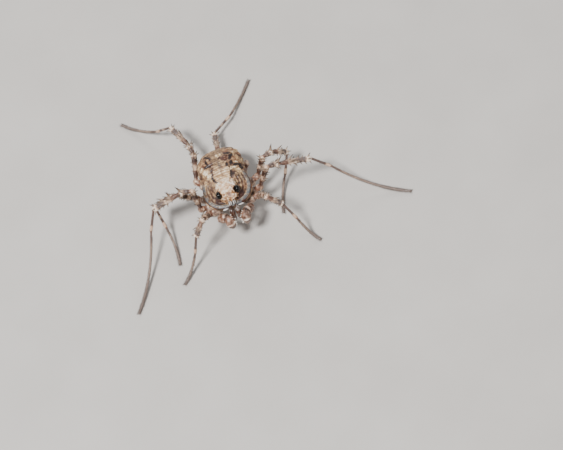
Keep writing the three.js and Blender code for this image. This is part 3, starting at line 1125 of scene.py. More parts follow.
@dataclass
class Route:
    """A smooth line in space that a skin is drawn along.

    Attributes:
        points: The line's points.
        shares: How far along each point lies, from 0 to 1.
        length: The line's length.
        ring_frames: At each ring its point, direction and two directions across.
    """

    points: np.ndarray
    shares: np.ndarray = field(init=False)
    length: float = field(init=False)
    ring_frames: list[tuple[Vector, Vector, Vector, Vector]] = field(init=False)

    def __post_init__(self) -> None:
        """Measure the line."""
        steps = np.linalg.norm(np.diff(self.points, axis=0), axis=1)
        self.shares = np.concatenate([[0], np.cumsum(steps)])
        self.length = float(self.shares[-1])
        self.shares /= self.length
        self.ring_frames = []

    @classmethod
    def through(cls, corners: list[Vector], soft: float) -> "Route":
        """Lay a line through corners and soften its bends.

        Args:
            corners: The points that it passes.
            soft: Length over which a bend is softened.

        Returns:
            The line.
        """
        step = 0.02
        dense = []
        for start, end in zip(corners, corners[1:]):
            count = max(2, round((end - start).length / step))
            dense += [start.lerp(end, i / count) for i in range(count)]
        dense.append(corners[-1])
        line = np.array([tuple(point) for point in dense])
        reach = max(1, round(soft / step))
        kernel = np.hanning(2 * reach + 3)[1:-1]
        kernel /= kernel.sum()
        ends = [np.repeat(line[[end]], reach, axis=0) for end in (0, -1)]
        padded = np.concatenate([ends[0], line, ends[1]])
        smooth = np.stack([np.convolve(padded[:, axis], kernel, "valid") for axis in range(3)], axis=1)
        smooth[0], smooth[-1] = line[0], line[-1]
        return cls(smooth)

    def at(self, share: float) -> Vector:
        """Give the point a share of the way along."""
        return Vector([float(np.interp(share, self.shares, self.points[:, axis])) for axis in range(3)])

    def along(self, share: float) -> Vector:
        """Give the line's direction a share of the way along."""
        span = 0.03 / self.length
        return (self.at(min(1.0, share + span)) - self.at(max(0.0, share - span))).normalized()

    def lay_frames(self, count: int) -> None:
        """Work out frames along the line that don't twist.

        Args:
            count: How many lengths the line is cut into.
        """
        first = self.along(0.0)
        side = first.orthogonal().normalized()
        for number in range(count + 1):
            share = number / count
            along = self.along(share)
            side = (side - along * side.dot(along)).normalized()
            self.ring_frames.append((self.at(share), along, side, along.cross(side)))

    def out(self, share: float, turn: float) -> Vector:
        """Give the direction out of the line at a turn.

        Args:
            share: Share of the way along.
            turn: Turn round the line, in radians.

        Returns:
            The direction.
        """
        frame_at = self.ring_frames[round(share * (len(self.ring_frames) - 1))]
        return frame_at[2] * math.cos(turn) + frame_at[3] * math.sin(turn)

    def centre(self, share: float) -> Vector:
        """Give the line's point at the nearest frame."""
        return self.ring_frames[round(share * (len(self.ring_frames) - 1))][0]


@dataclass
class Bristle:
    """One spine or hair.

    Attributes:
        root: Where its axis starts, inside what it grows from.
        aim: Its direction.
        length: Its length from the root.
        width: Its radius at the root.
        chart: Its root's place on the unwrapped skin, from 0 to 1 each way.
        bend: How far its tip leans towards the lie, as a share of its length.
        lie: The direction in which it bends.
    """

    root: Vector
    aim: Vector
    length: float
    width: float
    chart: tuple[float, float]
    bend: float
    lie: Vector


@dataclass
class Bristles:
    """Many spines or hairs as one mesh.

    Attributes:
        sides: Faces round one.
        rings: Faces along one.
        blunt: How slowly one narrows, above 1 for a stout one.
        patch: Width of one on the unwrapped skin.
        grown: The spines or hairs.
    """

    sides: int
    rings: int
    blunt: float = 1.0
    patch: float = 0.003
    grown: list[Bristle] = field(default_factory=list)

    def build(self, name: str, material: bpy.types.Material, slot: str) -> None:
        """Join them into one piece.

        Args:
            name: The piece's name.
            material: Their finish.
            slot: Not used.
        """

        def place(share: float, turn: float) -> Vector:
            """Place a vertex of the pattern tube."""
            return Vector((math.cos(turn), math.sin(turn), share))

        form, charts = drawn_sphere(self.sides, self.rings, place)
        bmesh.ops.recalc_face_normals(form, faces=form.faces)
        faces = [[vertex.index for vertex in face.verts] for face in form.faces]
        form.free()
        share = np.array([chart[0] for chart in charts])
        turn = np.array([chart[1] for chart in charts])
        taper = np.where((share <= 0) | (share >= 1), 0.0, (1 - share) ** (1 / self.blunt))
        corners, patches = [], []
        for bristle in self.grown:
            aim = bristle.aim.normalized()
            side = aim.orthogonal().normalized()
            other = aim.cross(side)
            radius = bristle.width * taper
            centre = np.outer(share * bristle.length, aim) + np.outer(
                share**2 * bristle.length * bristle.bend, bristle.lie
            )
            rim = np.outer(np.cos(turn) * radius, side) + np.outer(np.sin(turn) * radius, other)
            corners.append(np.array(bristle.root) + centre + rim)
            spread = np.stack([np.cos(turn), np.sin(turn)], axis=1) * (self.patch / 2) * (1 - share[:, None])
            patches.append(np.array(bristle.chart) + spread)
        count = len(charts)
        sets = [
            [corner + number * count for corner in face]
            for number in range(len(self.grown))
            for face in faces
        ]
        mesh = bpy.data.meshes.new(name)
        mesh.from_pydata((np.concatenate(corners) * MM).tolist(), [], sets)
        chart = mesh.uv_layers.new(name="OFBake")
        indices = np.empty(len(mesh.loops), dtype=np.int64)
        mesh.loops.foreach_get("vertex_index", indices)
        chart.data.foreach_set("uv", np.concatenate(patches)[indices].astype(np.float32).ravel())
        tone = np.tile(share, len(self.grown)).tolist()
        dressed(name, mesh, material, {"tone": tone})


@dataclass(frozen=True)
class PartLook:
    """The true thickness and the colour bands of a length of leg.

    Attributes:
        radius: Radius at shares of its length.
        tone: Tone at shares of its length.
        tint: How orange it is at shares of its length.
        cool: How grey it is at shares of its length.
    """

    radius: Stops
    tone: Stops
    tint: Stops = ((0.0, 0.1), (1.0, 0.1))
    cool: Stops = ((0.0, 0.0), (1.0, 0.0))


LOOKS: dict[Part, PartLook] = {
    Part.COXA: PartLook(
        radius=(
            (0.0, 0.24), (0.4, 0.4), (0.62, 0.45), (0.73, 0.38), (0.79, 0.26), (0.88, 0.34), (1.0, 0.35),
        ),
        tone=((0.0, 0.5), (0.5, 0.6), (0.7, 0.66), (0.79, 0.22), (0.9, 0.56), (1.0, 0.6)),
        tint=((0.0, 0.05), (0.72, 0.1), (0.8, 0.3), (0.92, 0.15), (1.0, 0.1)),
        cool=((0.0, 0.3), (0.7, 0.25), (0.8, 0.05), (1.0, 0.15)),
    ),
    Part.FEMUR: PartLook(
        radius=(
            (0.0, 0.34), (0.06, 0.31), (0.12, 0.19), (0.18, 0.2), (0.34, 0.25), (0.62, 0.25), (0.88, 0.3),
            (0.97, 0.27), (1.0, 0.22),
        ),
        tone=(
            (0.0, 0.5), (0.1, 0.4), (0.18, 0.18), (0.34, 0.2), (0.42, 0.62), (0.56, 0.64), (0.66, 0.15),
            (0.82, 0.15), (0.9, 0.74), (1.0, 0.85),
        ),
        tint=((0.0, 0.15), (0.3, 0.05), (0.86, 0.05), (0.95, 0.35), (1.0, 0.3)),
    ),
    Part.PATELLA: PartLook(
        radius=((0.0, 0.22), (0.1, 0.17), (0.32, 0.24), (0.6, 0.26), (0.85, 0.33), (0.95, 0.29), (1.0, 0.21)),
        tone=((0.0, 0.65), (0.14, 0.22), (0.55, 0.26), (0.7, 0.7), (0.85, 0.97), (1.0, 0.75)),
        tint=((0.0, 0.3), (0.2, 0.05), (0.6, 0.05), (0.95, 0.2), (1.0, 0.3)),
        cool=((0.0, 0.0), (0.3, 0.2), (0.6, 0.15), (0.8, 0.0), (1.0, 0.0)),
    ),
    Part.TIBIA: PartLook(
        radius=(
            (0.0, 0.21), (0.06, 0.17), (0.2, 0.25), (0.5, 0.26), (0.76, 0.245), (0.92, 0.31), (0.97, 0.28),
            (1.0, 0.19),
        ),
        tone=(
            (0.0, 0.3), (0.1, 0.18), (0.24, 0.36), (0.35, 0.68), (0.52, 0.74), (0.6, 0.28), (0.8, 0.22),
            (0.87, 0.9), (1.0, 0.98),
        ),
        tint=((0.0, 0.15), (0.3, 0.1), (0.8, 0.0), (0.98, 0.25), (1.0, 0.3)),
        cool=((0.0, 0.1), (0.5, 0.1), (0.62, 0.45), (0.8, 0.45), (0.86, 0.0), (1.0, 0.0)),
    ),
    Part.METATARSUS: PartLook(
        radius=(
            (0.0, 0.17), (0.06, 0.115), (0.3, 0.12), (0.62, 0.12), (0.84, 0.155), (0.95, 0.15), (1.0, 0.12),
        ),
        tone=((0.0, 0.6), (0.08, 0.24), (0.66, 0.2), (0.75, 0.72), (0.93, 0.78), (1.0, 0.4)),
        tint=((0.0, 0.1), (0.7, 0.05), (0.85, 0.3), (1.0, 0.15)),
        cool=((0.0, 0.2), (0.6, 0.3), (0.74, 0.0), (1.0, 0.0)),
    ),
    Part.TARSUS: PartLook(
        radius=((0.0, 0.115), (0.04, 0.1), (0.4, 0.105), (0.85, 0.125), (0.97, 0.115), (1.0, 0.06)),
        tone=((0.0, 0.3), (0.1, 0.3), (0.18, 0.62), (0.45, 0.56), (1.0, 0.48)),
        cool=((0.0, 0.2), (0.3, 0.4), (1.0, 0.8)),
    ),
}
MID_BAND: Stops = ((0.0, 0.0), (0.34, 0.0), (0.4, 0.5), (0.5, 0.5), (0.56, 0.0), (1.0, 0.0))
LUMPS = {Part.COXA: 0.07, Part.FEMUR: 0.025, Part.PATELLA: 0.03, Part.TIBIA: 0.025}
BANDED = (Part.FEMUR, Part.TIBIA)
FLUTED = (Part.FEMUR, Part.PATELLA, Part.TIBIA)
THIN = (Part.METATARSUS, Part.TARSUS)
HAIR_SHARES = {
    Part.TARSUS: 1.0,
    Part.METATARSUS: 0.22,
    Part.TIBIA: 0.16,
    Part.PATELLA: 0.16,
    Part.FEMUR: 0.12,
    Part.COXA: 0.1,
}


@dataclass(frozen=True)
class SpineRow:
    """Spines in a ring round a length of leg.

    Attributes:
        share: Share of the length where they stand.
        turn: Degrees from its upper side, to both sides.
        length: Length of a spine.
        lean: Degrees that they lean outwards along the leg.
    """

    share: float
    turn: float
    length: float
    lean: float


SPINE_ROWS: dict[Part, tuple[SpineRow, ...]] = {
    Part.FEMUR: (
        SpineRow(0.30, 150, 0.26, 25),
        SpineRow(0.45, 135, 0.28, 25),
        SpineRow(0.60, 150, 0.30, 25),
        SpineRow(0.75, 135, 0.30, 25),
        SpineRow(0.35, 70, 0.22, 30),
        SpineRow(0.50, 55, 0.24, 30),
        SpineRow(0.65, 70, 0.26, 30),
        SpineRow(0.80, 40, 0.32, 30),
        SpineRow(0.94, 0, 0.88, 8),
        SpineRow(0.96, 42, 0.50, 16),
        SpineRow(0.95, 85, 0.34, 25),
    ),
    Part.PATELLA: (
        SpineRow(0.35, 50, 0.22, 30),
        SpineRow(0.55, 70, 0.26, 25),
        SpineRow(0.66, 20, 0.30, 25),
        SpineRow(0.90, 0, 1.02, 6),
        SpineRow(0.90, 48, 0.42, 20),
        SpineRow(0.88, 95, 0.34, 25),
        SpineRow(0.80, 140, 0.26, 30),
    ),
    Part.TIBIA: (
        SpineRow(0.30, 18, 0.85, 34),
        SpineRow(0.34, 150, 0.30, 25),
        SpineRow(0.50, 140, 0.34, 25),
        SpineRow(0.66, 150, 0.32, 25),
        SpineRow(0.80, 140, 0.30, 25),
        SpineRow(0.44, 75, 0.26, 30),
        SpineRow(0.58, 45, 0.34, 30),
        SpineRow(0.72, 75, 0.28, 30),
        SpineRow(0.90, 30, 0.40, 22),
        SpineRow(0.92, 90, 0.32, 25),
    ),
}


@dataclass(frozen=True)
class LegPlan:
    """The sizes and pose of one leg.

    Attributes:
        number: Its number from the front.
        root: Where the coxa starts under the left side, in the trunk's frame.
        knob: The middle of the trochanter there.
        lengths: Lengths of the femur, patella, tibia, metatarsus and tarsus.
        right: Heading and rise of each on the right; the tarsus has its first and last heading.
        left: The same on the left.
        spines: How large its spines are.
        mid_band: Whether the metatarsus has a pale ring in its middle.
        contrast: How strong the bands of its femur and tibia are.
    """

    number: int
    root: tuple[float, float, float]
    knob: tuple[float, float, float]
    lengths: tuple[float, ...]
    right: tuple[tuple[float, float], ...]
    left: tuple[tuple[float, float], ...]
    spines: float
    mid_band: bool
    contrast: float


LEG_PLANS = (
    LegPlan(
        1, (1.10, -0.05, -2.15), (2.56, -0.15, -1.95), (1.90, 0.75, 1.75, 1.95, 3.3),
        ((20, 52), (35, 38), (60, -47), (45, -60), (45, 50)),
        ((28, 50), (20, 34), (64, -45), (30, -36), (35, 40)),
        0.6, False, 0.5,
    ),
    LegPlan(
        2, (1.15, 0.70, -2.30), (3.02, 0.72, -1.90), (2.85, 1.15, 3.25, 2.20, 8.2),
        ((165, 76), (103, -5), (93, -24), (41, -46), (22, 38)),
        ((104, 62), (94, -18), (85, -14), (65, -39), (50, 62)),
        1.0, False, 0.95,
    ),
    LegPlan(
        3, (1.15, 1.45, -2.35), (3.20, 2.15, -1.92), (2.10, 1.05, 2.00, 2.30, 4.0),
        ((95, 52), (100, -3), (98, -35), (-10, -46), (-10, 10)),
        ((125, 50), (105, -5), (100, -46), (-37, -48), (-35, -10)),
        0.8, True, 1.0,
    ),
    LegPlan(
        4, (1.15, 2.25, -2.35), (2.58, 4.10, -1.85), (2.95, 1.10, 2.80, 2.55, 4.8),
        ((194, 9), (171, 8), (157, 4), (130, -41), (130, 140)),
        ((235, -24), (180, 20), (173, -8), (127, -9), (138, 142)),
        0.9, True, 1.0,
    ),
)


def heading(side: Side, degrees: float, rise: float) -> Vector:
    """Give a direction from its heading and rise.

    Args:
        side: The side that the heading turns to.
        degrees: Heading from straight ahead.
        rise: Degrees above the level.

    Returns:
        The direction.
    """
    turn, lift = math.radians(degrees), math.radians(rise)
    flat = math.cos(lift)
    return Vector((side.value * math.sin(turn) * flat, -math.cos(turn) * flat, math.sin(lift)))


@dataclass
class Leg:
    """One leg: its skin from the coxa to the tip, its spines and its hairs.

    Attributes:
        plan: Its sizes and pose.
        side: Its side.
        trunk: Where the trunk's points lie in the model.
        tip_height: Height of the tarsus' axis at its tip.
        landing: How soon the tarsus flattens out along the floor.
        around: Faces round the skin.
        ring_step: Length of a face along it.
        hairs_per_mm: How many hairs stand on each millimetre of the tarsus.
        segment: Length of one of the tarsus' many segments.
    """

    plan: LegPlan
    side: Side
    trunk: Matrix
    tip_height: float = 0.0715
    landing: float = 1.9
    around: int = 24
    ring_step: float = 0.045
    hairs_per_mm: float = 190.0
    segment: float = 0.24

    def __post_init__(self) -> None:
        """Lay the leg's line and the shares where its parts end."""
        mirror = Vector((self.side.value, 1, 1))
        self.name = f"leg_{self.side.word}_{self.plan.number}"
        self.angles = self.plan.right if self.side is Side.RIGHT else self.plan.left
        root = self.trunk @ (Vector(self.plan.root) * mirror)
        corners = [root, self.trunk @ (Vector(self.plan.knob) * mirror)]
        for length, (turn, rise) in zip(self.plan.lengths[:4], self.angles[:4]):
            corners.append(corners[-1] + heading(self.side, turn, rise) * length)
        joints = len(corners)
        corners += self._tarsus(corners[-1])
        self.route = Route.through(corners, 0.13)
        spans = [(b - a).length for a, b in zip(corners, corners[1:])]
        ends = np.cumsum(spans)
        self.ends = [float(ends[i] / ends[-1]) for i in range(joints - 1)] + [1.0]
        self.rings = round(self.route.length / self.ring_step)
        self.route.lay_frames(self.rings)
        self.random = Random(f"{self.name} hairs")

    def _tarsus(self, start: Vector) -> list[Vector]:
        """Lay the tarsus from its joint down to the floor.

        Args:
            start: The joint.

        Returns:
            The points after the joint.
        """
        length, steps = self.plan.lengths[4], 12
        first, last = self.angles[4]
        fall = start.z - self.tip_height
        reach = math.sqrt(length**2 - fall**2)
        points, spot = [], start.copy()
        for step in range(1, steps + 1):
            turn = first + (last - first) * (step - 0.5) / steps
            spot += heading(self.side, turn, 0) * (reach / steps)
            height = self.tip_height + fall * (1 - step / steps) ** self.landing
            points.append(Vector((spot.x, spot.y, height)))
        return points

    def part_at(self, share: float) -> tuple[Part, float]:
        """Find the part at a share of the leg.

        Args:
            share: Share of the leg's length.

        Returns:
            The part, and the share of its own length.
        """
        start = 0.0
        for part, end in zip(Part, self.ends):
            if share <= end:
                return part, (share - start) / (end - start)
            start = end
        return Part.TARSUS, 1.0

    def share_of(self, part: Part, share: float) -> float:
        """Give the share of the whole leg at a share of one part."""
        start = self.ends[part.value - 1] if part.value else 0.0
        return start + (self.ends[part.value] - start) * share

    def radius(self, share: float) -> float:
        """Give the true radius at a share of the leg, a little smoothed.

        Args:
            share: Share of the leg's length.

        Returns:
            The radius.
        """
        blur = 0.03 / self.route.length
        total = 0.0
        for step in (-1, 0, 1):
            part, inner = self.part_at(min(1.0, max(0.0, share + step * blur)))
            total += float(np.interp(inner, *zip(*LOOKS[part].radius)))
        return total / 3

    def place(self, share: float, turn: float) -> Vector:
        """Place a vertex of the skin.

        Args:
            share: Share of the leg's length.
            turn: Turn round it, in radians.

        Returns:
            Its place in the model.
        """
        centre, out = self.route.centre(share), self.route.out(share, turn)
        if share in (0.0, 1.0):
            return centre
        part, inner = self.part_at(share)
        radius = self.radius(share)
        spot = centre + out * radius
        radius += LUMPS.get(part, 0.0) * (pebble(*spot, 3.8 if part is Part.COXA else 6.0) - 0.4)
        if part is Part.TARSUS:
            radius *= 1 + 0.05 * math.sin(2 * math.pi * inner * self.plan.lengths[4] / self.segment)
        if part in FLUTED:
            radius *= 1 + 0.035 * math.cos(5 * turn)
        spot = centre + out * radius
        spot.z = max(0.0, spot.z)
        return spot

    def marks(self, share: float, turn: float, spot: Vector) -> MarkRow:
        """Work out the marks of a point on the skin.

        Args:
            share: Share of the leg's length.
            turn: Turn round it, in radians.
            spot: Its place in the model.

        Returns:
            Its tone, tint, cool and gloss.
        """
        part, inner = self.part_at(share)
        look = LOOKS[part]
        wobble = 0.02 * cloud(*spot, 3.0)
        inner = min(1.0, max(0.0, inner + wobble))
        tone, tint, cool = (float(np.interp(inner, *zip(*row))) for row in (look.tone, look.tint, look.cool))
        if self.plan.mid_band and part is Part.METATARSUS:
            tone += float(np.interp(inner, *zip(*MID_BAND)))
        length = share * self.route.length
        streaks = cloud(1.5 * math.cos(turn), 1.5 * math.sin(turn), length * 0.8, 1.3)
        blotches = cloud(*spot, 4.5)
        strength = 0.1 if part in THIN else 0.3
        if part in BANDED:
            tone = 0.45 + (tone - 0.45) * (self.plan.contrast if inner < 0.86 else 1.0)
        middle = 1 - abs(2 * tone - 1)
        tone += strength * (0.35 + 0.65 * middle) * (0.8 * streaks + 0.8 * blotches)
        if part is Part.COXA:
            tone += 0.4 * (pebble(*spot, 3.8) - 0.5)
        return tone, max(0.0, tint), max(0.0, cool), 0.35

    def skin(self) -> None:
        """Make the skin, which stands for the leg's six nodes."""
        form, charts = drawn_sphere(self.around, self.rings, self.place)
        marks = gathered([self.marks(*chart, vertex.co) for vertex, chart in zip(form.verts, charts)])
        nodes = tuple(f"{self.name}_{part.word}" for part in Part)
        finished(f"{self.name}_skin", form, LEG.material(), marks, nodes)

    def upper_side(self, part: Part) -> tuple[Vector, Vector]:
        """Find a part's direction and its upper side.

        Args:
            part: The part.

        Returns:
            The direction along it, and the direction out of its upper side.
        """
        along = heading(self.side, *self.angles[part.value - 1])
        across = along.cross(Vector((0, 0, 1))).normalized()
        return along, across.cross(along).normalized()

    def spines(self) -> None:
        """Make the spines, in rows that grow towards the joints."""
        bristles = Bristles(sides=9, rings=8, blunt=1.25)
        for part, rows in SPINE_ROWS.items():
            along, upper = self.upper_side(part)
            across = along.cross(upper)
            for row in rows:
                share = self.share_of(part, row.share)
                centre = self.route.at(share)
                thick = self.radius(share)
                for turn in {row.turn, -row.turn}:
                    size = row.length * self.plan.spines * self.random.uniform(0.84, 1.16)
                    angle = math.radians(turn + self.random.uniform(-7, 7))
                    out = upper * math.cos(angle) + across * math.sin(angle)
                    lean = math.radians(row.lean)
                    aim = out * math.cos(lean) + along * math.sin(lean)
                    stout = 0.065 + 0.085 * min(1.0, size)
                    chart = (0.02 + 0.96 * share, 0.02 + 0.96 * ((turn / 360) % 1))
                    root, length = centre + out * thick * 0.6, size + thick * 0.4
                    bristles.grown.append(Bristle(root, aim, length, stout, chart, 0.12, along))
        bristles.build(f"{self.name}_spines", SPINE_HORN.material(), "leg")

    def hairs(self) -> None:
        """Make the fine hairs, close on the tarsus and sparse further up."""
        bristles = Bristles(sides=3, rings=3)
        for part, density in HAIR_SHARES.items():
            length = self.route.length * (self.share_of(part, 1) - self.share_of(part, 0))
            for _ in range(round(length * density * self.hairs_per_mm)):
                inner = self.random.uniform(0.04, 0.995)
                share = self.share_of(part, inner)
                turn = self.random.uniform(-math.pi, math.pi)
                out, along = self.route.out(share, turn), self.route.along(share)
                root = self.route.centre(share) + out * self.radius(share) * 0.8
                far = ease(inner, 0.4, 0.9) if part is Part.TARSUS else 0.0
                size = self.random.uniform(0.12, 0.2) + 0.06 * far
                lean = self.random.uniform(0.75, 1.25) - 0.25 * far
                aim = out * math.cos(lean) + along * math.sin(lean)
                if root.z + aim.z * size < 0.01:
                    continue
                chart = (0.02 + 0.96 * share, 0.02 + 0.96 * (turn / (2 * math.pi) + 0.5))
                bristles.grown.append(Bristle(root, aim, size, 0.014, chart, 0.25, along))
        bristles.build(f"{self.name}_hairs", HAIR_FUZZ.material(), "tarsus")

    def build(self) -> None:
        """Make the whole leg."""
        self.skin()
        self.spines()
        self.hairs()


@dataclass
class Palps:
    """The two palps, folded under the front, and the jaws between them.

    Attributes:
        trunk: Where the trunk's points lie in the model.
        path: The left palp's line in the trunk's frame.
        radius: Its radius at shares of its length.
        jaw: The left jaw's line.
        jaw_radius: The jaw's radius at shares of its length.
        brow: Middle of the left lobe under the mound, before its shift.
        brow_half: Half the width, length and height of that lobe.
        brow_shift: How far both of these lobes lie to the left.
        rim: Middle of the left lobe on the shield's rim.
        rim_half: Half the width, length and height of that lobe.
        teeth: How many teeth a palp has.
        creases: Shares of a palp's length where it is creased.
    """

    trunk: Matrix
    path: tuple[tuple[float, float, float], ...] = (
        (1.40, -0.60, -2.15),
        (1.52, -1.25, -1.95),
        (1.36, -1.55, -1.62),
        (1.05, -1.75, -1.42),
        (0.84, -2.02, -1.50),
        (0.76, -2.20, -1.85),
        (0.74, -2.15, -2.35),
        (0.62, -1.80, -2.85),
    )
    radius: Stops = (
        (0.0, 0.2), (0.12, 0.36), (0.2, 0.4), (0.26, 0.33), (0.32, 0.42), (0.42, 0.46), (0.47, 0.4),
        (0.52, 0.46), (0.6, 0.52), (0.68, 0.5), (0.73, 0.4), (0.8, 0.36), (0.9, 0.27), (0.97, 0.18),
        (1.0, 0.1),
    )
    jaw: tuple[tuple[float, float, float], ...] = (
        (0.27, -0.55, -1.25),
        (0.28, -1.05, -1.1),
        (0.29, -1.45, -1.3),
        (0.28, -1.5, -1.8),
        (0.24, -1.42, -2.3),
        (0.16, -1.3, -2.8),
    )
    jaw_radius: Stops = (
        (0.0, 0.14), (0.3, 0.25), (0.45, 0.26), (0.55, 0.2), (0.75, 0.19), (0.9, 0.11), (1.0, 0.04),
    )
    brow: tuple[float, float, float] = (0.2, -0.74, -0.78)
    brow_half: tuple[float, float, float] = (0.17, 0.26, 0.2)
    brow_shift: float = 0.04
    rim: tuple[float, float, float] = (0.78, -0.96, -1.16)
    rim_half: tuple[float, float, float] = (0.27, 0.09, 0.07)
    teeth: int = 16
    creases: tuple[float, ...] = (0.27, 0.48, 0.7)

    def build(self) -> None:
        """Make the palps, their teeth, the jaws and the lobes above them."""
        for side in Side:
            self._palp(side)
            self._jaw(side)
            mirror, shift = Vector((side.value, 1, 1)), Vector((self.brow_shift, 0, 0))
            self._lobe(side, "brow", Vector(self.brow) * mirror + shift, Vector(self.brow_half))
            self._lobe(side, "rim", Vector(self.rim) * mirror, Vector(self.rim_half))

    def _line(
        self, side: Side, points: tuple[tuple[float, float, float], ...], rings: int
    ) -> Route:
        """Lay a line on one side.

        Args:
            side: The side.
            points: The left one's points.
            rings: How many lengths it is cut into.

        Returns:
            The line, with its frames.
        """
        mirror = Vector((side.value, 1, 1))
        route = Route.through([self.trunk @ (Vector(point) * mirror) for point in points], 0.32)
        route.lay_frames(rings)
        return route

    def _palp(self, side: Side) -> None:
        """Make one palp, with pale rings painted on its lobes as highlights.

        Args:
            side: The palp's side.
        """
        rings = 96
        route = self._line(side, self.path, rings)

        def place(share: float, turn: float) -> Vector:
            """Place a vertex of the palp's skin.

            Args:
                share: Share of the palp's length.
                turn: Turn round it, in radians.

            Returns:
                Its place in the model.
            """
            centre, out = route.centre(share), route.out(share, turn)
            if share in (0.0, 1.0):
                return centre
            radius = float(np.interp(share, *zip(*self.radius)))
            spot = centre + out * radius
            return spot + out * (0.05 * (pebble(*spot, 4.0) - 0.4) + 0.03 * cloud(*spot, 2.0))

        form, charts = drawn_sphere(56, rings, place)
        rows: list[MarkRow] = []
        for vertex, (share, _) in zip(form.verts, charts):
            spot = vertex.co
            # Pale rings on the palp's lobes are painted highlight, with a glossier finish there.
            rim_highlights = 0.6 * hump(share, 0.44, 0.018) + hump(share, 0.655, 0.022)
            # The creases between the lobes are darkened: painted shade.
            creases = sum(hump(share, crease, 0.02) for crease in self.creases)
            tone = 0.43 + 0.36 * cloud(*spot, 2.6) + 0.22 * (pebble(*spot, 4.0) - 0.5)
            tint = max(0.0, 0.12 + 0.2 * cloud(*spot, 1.5))
            rows.append((tone + 0.5 * rim_highlights - 0.5 * creases, tint, 0.0, 0.4 + 0.5 * rim_highlights))
        nodes = tuple(f"pedipalp_{side.word}_{part}" for part in ("femur", "tarsus"))
        finished(f"palp_{side.word}_skin", form, PALP.material(), gathered(rows), nodes)
        self._teeth(side, route)

    def _teeth(self, side: Side, route: Route) -> None:
        """Make the small white teeth on the inner side of a palp.

        Args:
            side: The palp's side.
            route: The palp's line.
        """
        random = Random(f"palp {side.word}")
        inner = Vector((-side.value, 0, 0))
        bristles = Bristles(sides=7, rings=5, blunt=2.2)
        for number in range(self.teeth):
            share = 0.52 + 0.42 * number / (self.teeth - 1)
            along = route.along(share)
            aim = (inner + Vector((0, -0.7, 0.5)) * random.uniform(0.3, 1.0)).normalized()
            aim = (aim - along * aim.dot(along)).normalized()
            radius = float(np.interp(share, *zip(*self.radius)))
            size = random.uniform(0.14, 0.24)
            root = route.at(share) + aim * radius * 0.85
            bristles.grown.append(Bristle(root, aim, size, 0.055, (share, 0.5), 0.1, along))
        bristles.build(f"palp_{side.word}_teeth", TOOTH_HORN.material(), "palp")

    def _jaw(self, side: Side) -> None:
        """Make one jaw, paler above and brown below.

        Args:
            side: The jaw's side.
        """
        rings = 72
        route = self._line(side, self.jaw, rings)

        def place(share: float, turn: float) -> Vector:
            """Place a vertex of the jaw's skin.

            Args:
                share: Share of the jaw's length.
                turn: Turn round it, in radians.

            Returns:
                Its place in the model.
            """
            if share in (0.0, 1.0):
                return route.centre(share)
            radius = float(np.interp(share, *zip(*self.jaw_radius)))
            return route.centre(share) + route.out(share, turn) * radius

        form, charts = drawn_sphere(32, rings, place)
        rows: list[MarkRow] = []
        for vertex, (share, _) in zip(form.verts, charts):
            upper = ease(share, 0.5, 0.3)
            tone = 0.24 + 0.16 * upper + 0.4 * cloud(*vertex.co, 3.0) - 0.3 * hump(share, 0.55, 0.03)
            rows.append((tone, 0.5 * (1 - upper), 0.0, 0.45))
        nodes = (f"chelicera_{side.word}",)
        finished(f"jaw_{side.word}", form, JAW.material(), gathered(rows), nodes)

    def _lobe(self, side: Side, name: str, middle: Vector, half: Vector) -> None:
        """Make a glossy, pale lobe on the front of the head shield; a brow lobe's near white is a painted
        reflection.

        Args:
            side: The lobe's side.
            name: The lobe's name.
            middle: Its middle in the trunk's frame.
            half: Half its width, length and height.
        """

        def place(share: float, turn: float) -> Vector:
            """Place a vertex of the lobe.

            Args:
                share: Share of the way from front to back.
                turn: Turn round the lobe, in radians.

            Returns:
                Its place in the trunk's frame.
            """
            y, ring = -math.cos(math.pi * share), math.sin(math.pi * share)
            spot = Vector((ring * math.cos(turn), y, ring * math.sin(turn))) * half
            return middle + spot * (1 + 0.12 * cloud(*(middle + spot), 3.0))

        form, _ = drawn_sphere(32, 24, place)
        rows: list[MarkRow] = []
        for vertex in form.verts:
            across = (vertex.co.x - middle.x) / half.x
            # The dark grooves between and beside the brow lobes are painted shade.
            groove = hump(across, side.value * 0.05, 0.24) + hump(abs(across), 1.0, 0.2)
            dark = 0.85 * groove if name == "brow" else 0.0
            # On the brow lobes this near-white tone is a painted reflection.
            rows.append((0.95 - dark + 0.12 * cloud(*vertex.co, 4.0), 0.0, 0.12, 1.0))
        bmesh.ops.transform(form, matrix=self.trunk, verts=form.verts)
        finished(f"{name}_lobe_{side.word}", form, JAW.material(), gathered(rows))


@dataclass(frozen=True)
class Lamp:
    """A soft square lamp that points at the animal.

    Attributes:
        name: The lamp's name.
        spot: Where it hangs, in metres.
        size: Length of its side in metres.
        power: Its power in watts.
    """

    name: str
    spot: tuple[float, float, float]
    size: float
    power: float

    def hang(self) -> None:
        """Put the lamp in the scene."""
        lamp = bpy.data.lights.new(self.name, "AREA")
        lamp.size = self.size
        lamp.energy = self.power
        light = bpy.data.objects.new(self.name, lamp)
        place = Vector(self.spot)
        aim = place.to_track_quat("Z", "Y").to_matrix().to_4x4()
        light.matrix_world = Matrix.Translation(place) @ aim
        bpy.context.scene.collection.objects.link(light)


